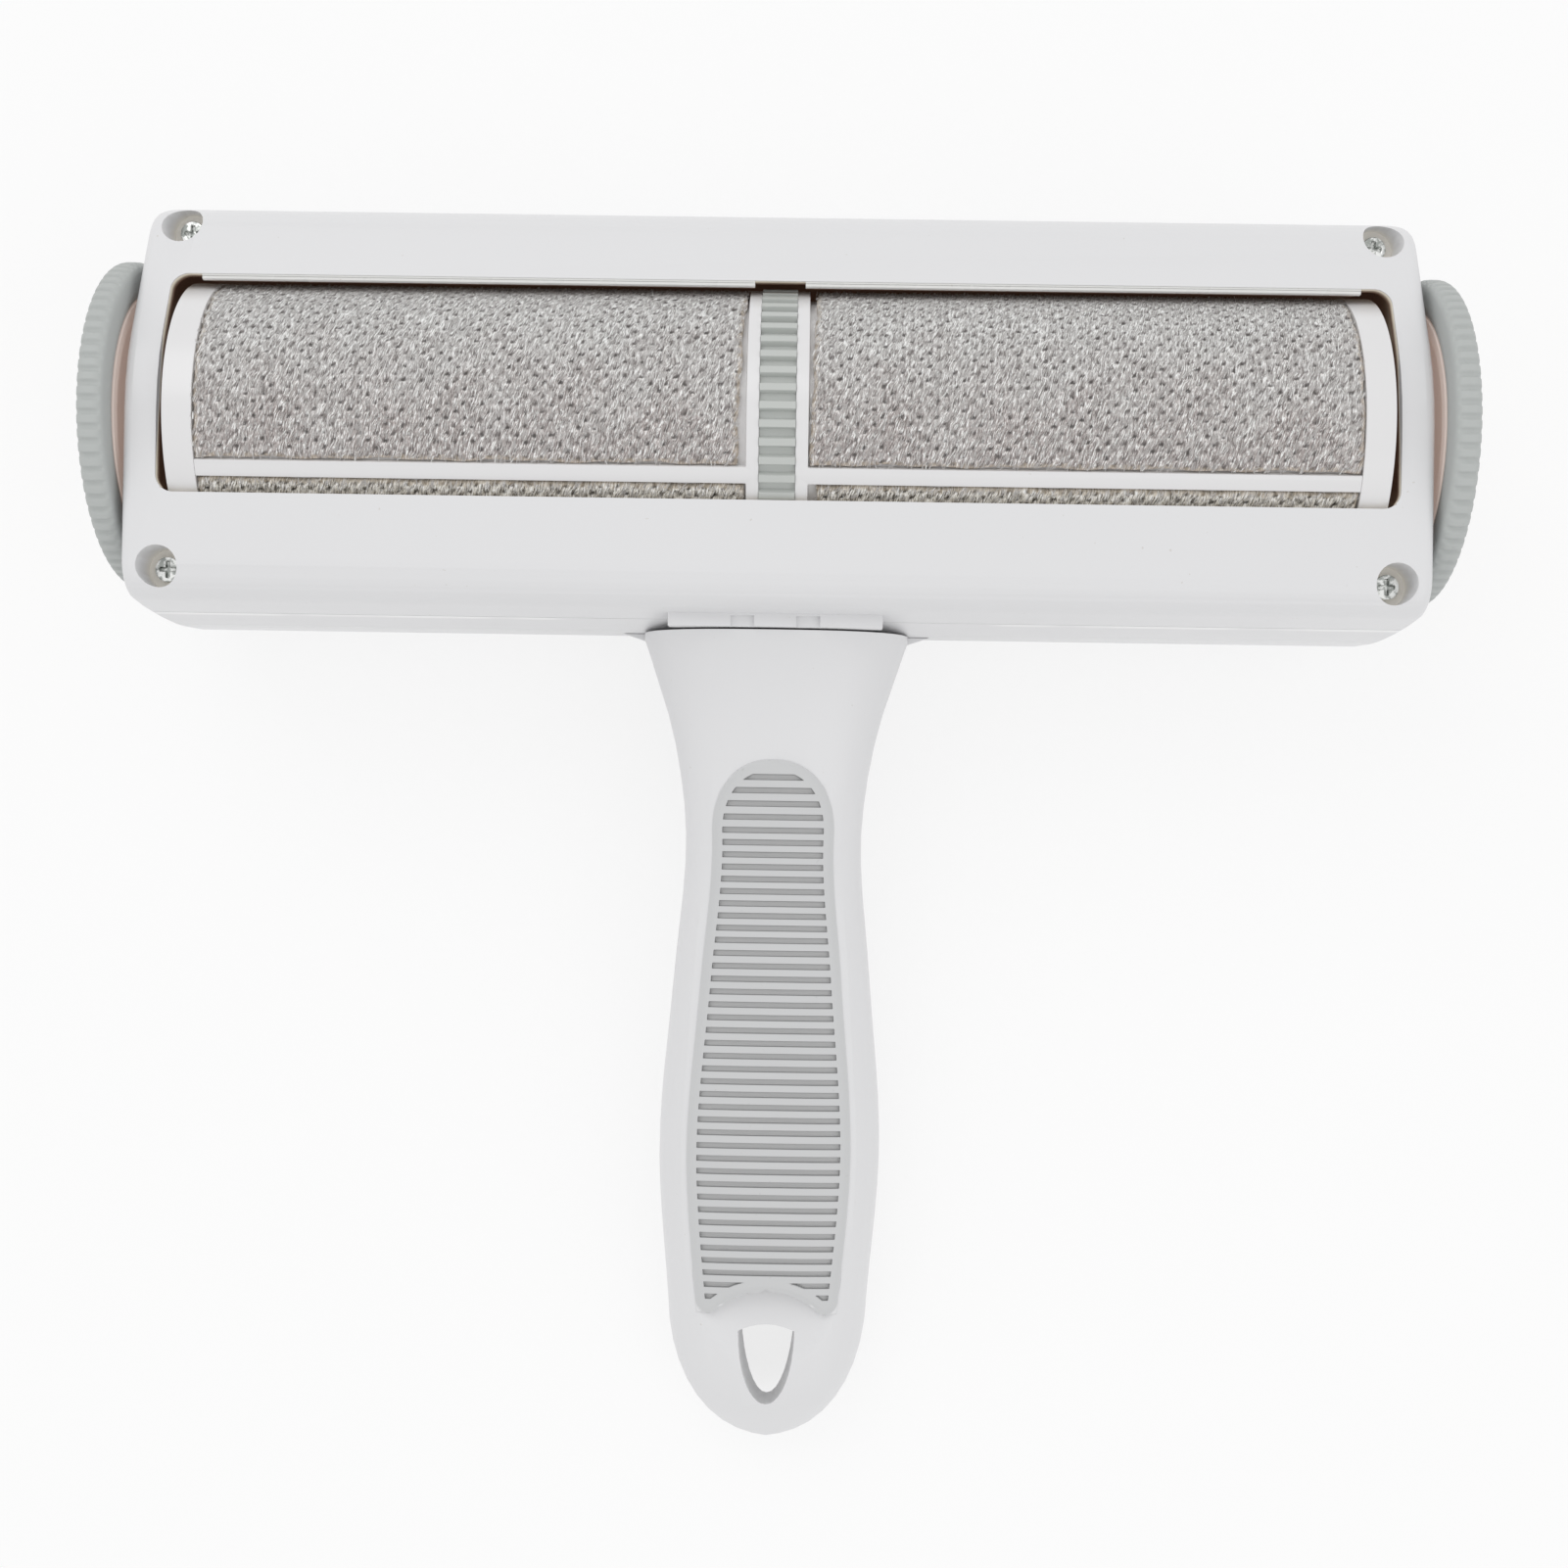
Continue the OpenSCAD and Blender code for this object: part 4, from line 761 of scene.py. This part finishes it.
# %% Grip pad
def pad_half():
    """Height = handle front + 0.42 inside the outline - GROOVE_DEPTH inside a groove.
    A row moves towards the handle's end where the surface drops, by 0.75 * (a - 54.8) * drop / 314,
    so that the grooves look straight from the camera."""
    rows = pad_rows()
    outer, reach = arch(rows, 0), arch(rows, GROOVE_MARGIN)
    x = pad_columns(rows, outer, reach)
    flat = np.broadcast_to(rows[:, None], x.shape)
    drop = handle_front(0, flat) - handle_front(x, flat)
    a = flat + 0.75 * (flat - 54.8) * drop / 314 * (1 - smooth((flat - 138.2) / 2.4))
    inside, groove, soft = pad_marks(x, flat, rows, outer, reach)
    z = handle_front(x, a) + 0.06 + 0.06 * soft + 0.3 * smooth(inside / 1.1) - GROOVE_DEPTH * groove
    low = np.stack([x[:, [-1, 0]], -a[:, :2], handle_front(x, a)[:, [-1, 0]] - 0.9], axis=-1)
    half = np.concatenate([np.stack([x, -a, z], axis=-1), low], axis=1)
    return half, [np.hstack([value, value[:, [-1, 0]]]) for value in (groove, soft)]


def grip_pad():
    half, marks = pad_half()
    row_count, column_count = half.shape[:2]
    points = half.reshape(-1, 3)
    count = len(points)
    faces = grid_faces(row_count, column_count, closed_columns=True)
    faces = faces[~(np.abs(points[faces][:, :, 0]) < 0.001).all(axis=1)]
    last = np.arange(column_count) + (row_count - 1) * column_count
    both = np.vstack([points, points * (-1, 1, 1)])
    caps = [last[::-1].tolist(), (last + count).tolist()]
    squares = faces[:, ::-1].tolist() + (faces + count).tolist() + caps
    pad = piece("grip_pad_soft", both, squares, grip_soft, "housing", ("grip_pad",))
    for name, value in zip(("groove", "soft"), marks):
        layer = pad.data.attributes.new(name, "FLOAT", "POINT")
        layer.data.foreach_set("value", np.tile(value.ravel(), 2))
    form = bmesh.new()
    form.from_mesh(pad.data)
    bmesh.ops.remove_doubles(form, verts=form.verts, dist=0.000004)
    form.to_mesh(pad.data)
    form.free()
    return pad


pad = grip_pad()
print(pad.name, "faces", len(pad.data.polygons), "bounds", [round(v, 4) for v in pad.dimensions])

# %% [markdown]
# The head's own shape says where its plastic is seen from inside, and the white finish paints shade
# and a glow by that depth. Planes are laid against the head from many sides, and the depth of a point
# is its distance to the nearest plane. The screws' recesses are open to the light, so their depth, and
# with it their painted shade, is held small, and the back wall has none.

# %% Depth under the head's outer form
HEAD = ["front_shell", "rear_housing", "upper_wiper", "lower_wiper"]
NECK_HALF = 25
RECESS_DEPTH = 0.3


def head_support():
    """Farthest reach of the head in 72 directions round the drum, each tilted to the head's ends."""
    turn = np.linspace(0, 2 * np.pi, 72, endpoint=False)
    angle, tilt = np.meshgrid(turn, np.radians(np.arange(-75, 76, 15)))
    facing = [np.sin(tilt), np.cos(tilt) * np.cos(angle), np.cos(tilt) * np.sin(angle)]
    facing = np.hstack([np.reshape(facing, (3, -1)), [[1, -1], [0, 0], [0, 0]]])
    place = np.vstack([node_points("front_shell"), node_points("rear_housing")])
    place = place[np.abs(place[:, 0]) > NECK_HALF]
    return facing, (place @ facing).max(axis=0)


def mark_depth(mesh):
    """Depth is the smallest distance from a point to the planes that touch the head from outside.
    It fades to 0 at the back wall, times (z + 27.5) / 1.5, so the land round the lid stays white."""
    facing, reach = head_support()
    flat = np.empty(len(mesh.vertices) * 3)
    mesh.vertices.foreach_get("co", flat)
    place = (flat.reshape(-1, 3) - AXIS) / MM
    depth = np.clip((reach - place @ facing).min(axis=1), 0, 20)
    depth = depth * np.clip((place[:, 2] + 27.5) / 1.5, 0, 1)
    screws = node_points("shell_screws")
    for side, end in ((-1, -1), (-1, 1), (1, -1), (1, 1)):
        corner = screws[(screws[:, 0] * side > 0) & (screws[:, 1] * end > 0)]
        off = place[:, :2] - (corner.min(axis=0) + corner.max(axis=0))[:2] / 2
        recess = (place[:, 2] > 0) & (np.hypot(*off.T) < np.where(place[:, 2] > 4, 4.6, 4.0))
        depth = np.where(recess, np.minimum(depth, RECESS_DEPTH), depth)
    mesh.attributes.new("depth_mm", "FLOAT", "POINT").data.foreach_set("value", depth)


print("head's reach along the drum:", round(head_support()[1][-1], 2), "mm")

# %% [markdown]
# The shells and the other rigid pieces have the right shape already, but their edges are as sharp as
# a drawing. A real mould leaves a small radius, and that radius catches a line of light. A copy of
# each piece is merged, its flat triangles are joined, and a Bevel modifier rolls the edges. The copy
# keeps its place in the mesh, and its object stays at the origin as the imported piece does.

# %% Rounded copies of the rigid pieces
SHARP = math.radians(32)


def rounded_copy(node, finish, radius):
    mesh = NODES[node].data.copy()
    mesh.name = node + "_moulded"
    form = bmesh.new()
    form.from_mesh(mesh)
    bmesh.ops.remove_doubles(form, verts=form.verts, dist=0.000002)
    bmesh.ops.dissolve_limit(form, angle_limit=math.radians(0.4), verts=form.verts, edges=form.edges)
    form.to_mesh(mesh)
    form.free()
    if node in HEAD:
        mark_depth(mesh)
    mesh.materials.clear()
    mesh.materials.append(finish.material)
    mesh.polygons.foreach_set("use_smooth", np.ones(len(mesh.polygons), bool))
    mesh.set_sharp_from_angle(angle=SHARP)
    thing = bpy.data.objects.new(mesh.name, mesh)
    bpy.context.scene.collection.objects.link(thing)
    bevel = thing.modifiers.new("edge_radius", "BEVEL")
    bevel.width = radius * MM
    bevel.segments = 2
    bevel.limit_method = "ANGLE"
    bevel.angle_limit = SHARP
    bevel.harden_normals = True
    bevel.miter_outer = "MITER_ARC"
    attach(thing, NODES[node]["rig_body"])
    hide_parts(node)
    return thing


print("edges sharper than", round(math.degrees(SHARP)), "degrees are rolled")

# %% [markdown]
# The list gives each piece its finish and the radius of its edges in millimetres. Pieces with a
# radius of 0 are seen only through gaps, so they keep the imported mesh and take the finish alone.

# %% Dress the rigid pieces
DRESS = [
    (white_shell, 0.45, ["front_shell", "rear_housing"]),
    (white_shell, 0.2, ["handle_cover"]),
    (white_shell, 0.12, ["handle_back"]),
    (white_shell, 0.25, ["bin_lid"]),
    (white_drum, 0.2, ["left_end_cap", "right_end_cap", "left_drum", "right_drum"]),
    (hub_painted_glow, 0.2, ["left_hub", "right_hub"]),
    (bush_white, 0, ["left_bush", "right_bush"]),
    (wiper_white, 0.18, ["upper_wiper", "lower_wiper"]),
    (ring_grey, 0.12, ["traction_ring"]),
    (button_grey, 0.2, ["release_button"]),
    (steel, 0.12, ["shell_screws", "neck_screws", "axle_screws"]),
    (steel, 0, ["axle", "hinge_pins", "button_spring"]),
]
for finish, radius, names in DRESS:
    for name in names:
        if radius:
            copy = rounded_copy(name, finish, radius)
            print(copy.name, "faces", len(copy.data.polygons))
        else:
            NODES[name].data.materials.clear()
            NODES[name].data.materials.append(finish.material)

# %% [markdown]
# The studio is a pale floor that the camera sees as white, two wide soft lamps and a pale world.

# %% Floor and world
def plain_floor():
    """A flat square under the roller, wide enough to fill every view."""
    side = 3.0
    mesh = bpy.data.meshes.new("floor")
    corners = [(-side, -side, 0), (side, -side, 0), (side, side, 0), (-side, side, 0)]
    mesh.from_pydata(corners, [], [(0, 1, 2, 3)])
    floor = bpy.data.objects.new("floor", mesh)
    bpy.context.scene.collection.objects.link(floor)
    paper = Finish("floor_paper", None, (0.88, 0.88, 0.88), 0.9)
    grain = paper.noise(35, 3)
    paper.feed("Base Color", paper.mix(grain, (0.88, 0.88, 0.88), (0.86, 0.86, 0.86)))
    seen = paper.add("ShaderNodeLightPath", output="Is Camera Ray")
    gloss = paper.add("ShaderNodeLightPath", output="Is Glossy Ray")
    through = paper.add("ShaderNodeLightPath", output="Is Transmission Ray")
    white = paper.add("ShaderNodeEmission", {}, {"Color": (1, 1, 1, 1), "Strength": 1.0})
    share = (seen + gloss + through).math("MINIMUM", 1) * 0.78
    matt = Wire(paper, paper.shader.outputs[0])
    mixed = paper.add("ShaderNodeMixShader", {}, {0: share, 1: matt, 2: white})
    paper.tree.links.new(mixed.socket, paper.tree.nodes["Material Output"].inputs["Surface"])
    mesh.materials.append(paper.material)


def pale_world(strength):
    world = bpy.data.worlds.new("pale_room")
    world.use_nodes = True
    background = world.node_tree.nodes["Background"]
    background.inputs["Color"].default_value = (1, 1, 1, 1)
    background.inputs["Strength"].default_value = strength
    bpy.context.scene.world = world


plain_floor()
pale_world(0.86)
print("floor and world are in")

# %% [markdown]
# Two soft boxes light the roller from above: a wide one behind the head, a weaker one from the
# handle's side. A lamp points along its own -Z, so it is turned until that axis meets its aim.

# %% Lamps
def soft_box(name, place, aim, size, power):
    data = bpy.data.lights.new(name, "AREA")
    data.shape = "SQUARE"
    data.size = size
    data.energy = power
    lamp = bpy.data.objects.new(name, data)
    bpy.context.scene.collection.objects.link(lamp)
    lamp.location = place
    lamp.rotation_euler = (Vector(aim) - Vector(place)).to_track_quat("-Z", "Y").to_euler()


soft_box("key_box", (-0.35, 0.75, 0.95), (0, 0, 0.02), 0.7, 2.2)
soft_box("fill_box", (0.55, -0.55, 0.8), (0, 0, 0.02), 0.8, 1.0)

# %% [markdown]
# The photograph looks straight down on the roller from about 0.34 m. The camera's three axes were
# found by matching known corners of the head, drum and handle.

# %% Camera
def photo_camera():
    """Square frame, seen from above the head; its lens is the focal length over the frame's width."""
    frame_px = 1601
    focal_px = 2030.7
    right = Vector((0.99985, 0.01548, -0.00749)).normalized()
    look = Vector((-0.00749, -0.00003, -0.99997)).normalized()
    up = right.cross(look)
    data = bpy.data.cameras.new("photo_camera")
    data.sensor_width = 36
    data.lens = data.sensor_width * focal_px / frame_px
    data.clip_start = 0.01
    camera = bpy.data.objects.new("photo_camera", data)
    bpy.context.scene.collection.objects.link(camera)
    place = Vector(AXIS) + Vector((3.975, -54.811, 314.073)) * MM
    camera.matrix_world = Matrix.Translation(place) @ Matrix((right, up, -look)).transposed().to_4x4()
    bpy.context.scene.camera = camera
    print("camera at", [round(v, 4) for v in place], "lens", round(data.lens, 2))


photo_camera()
bpy.context.scene.view_settings.view_transform = "Standard"
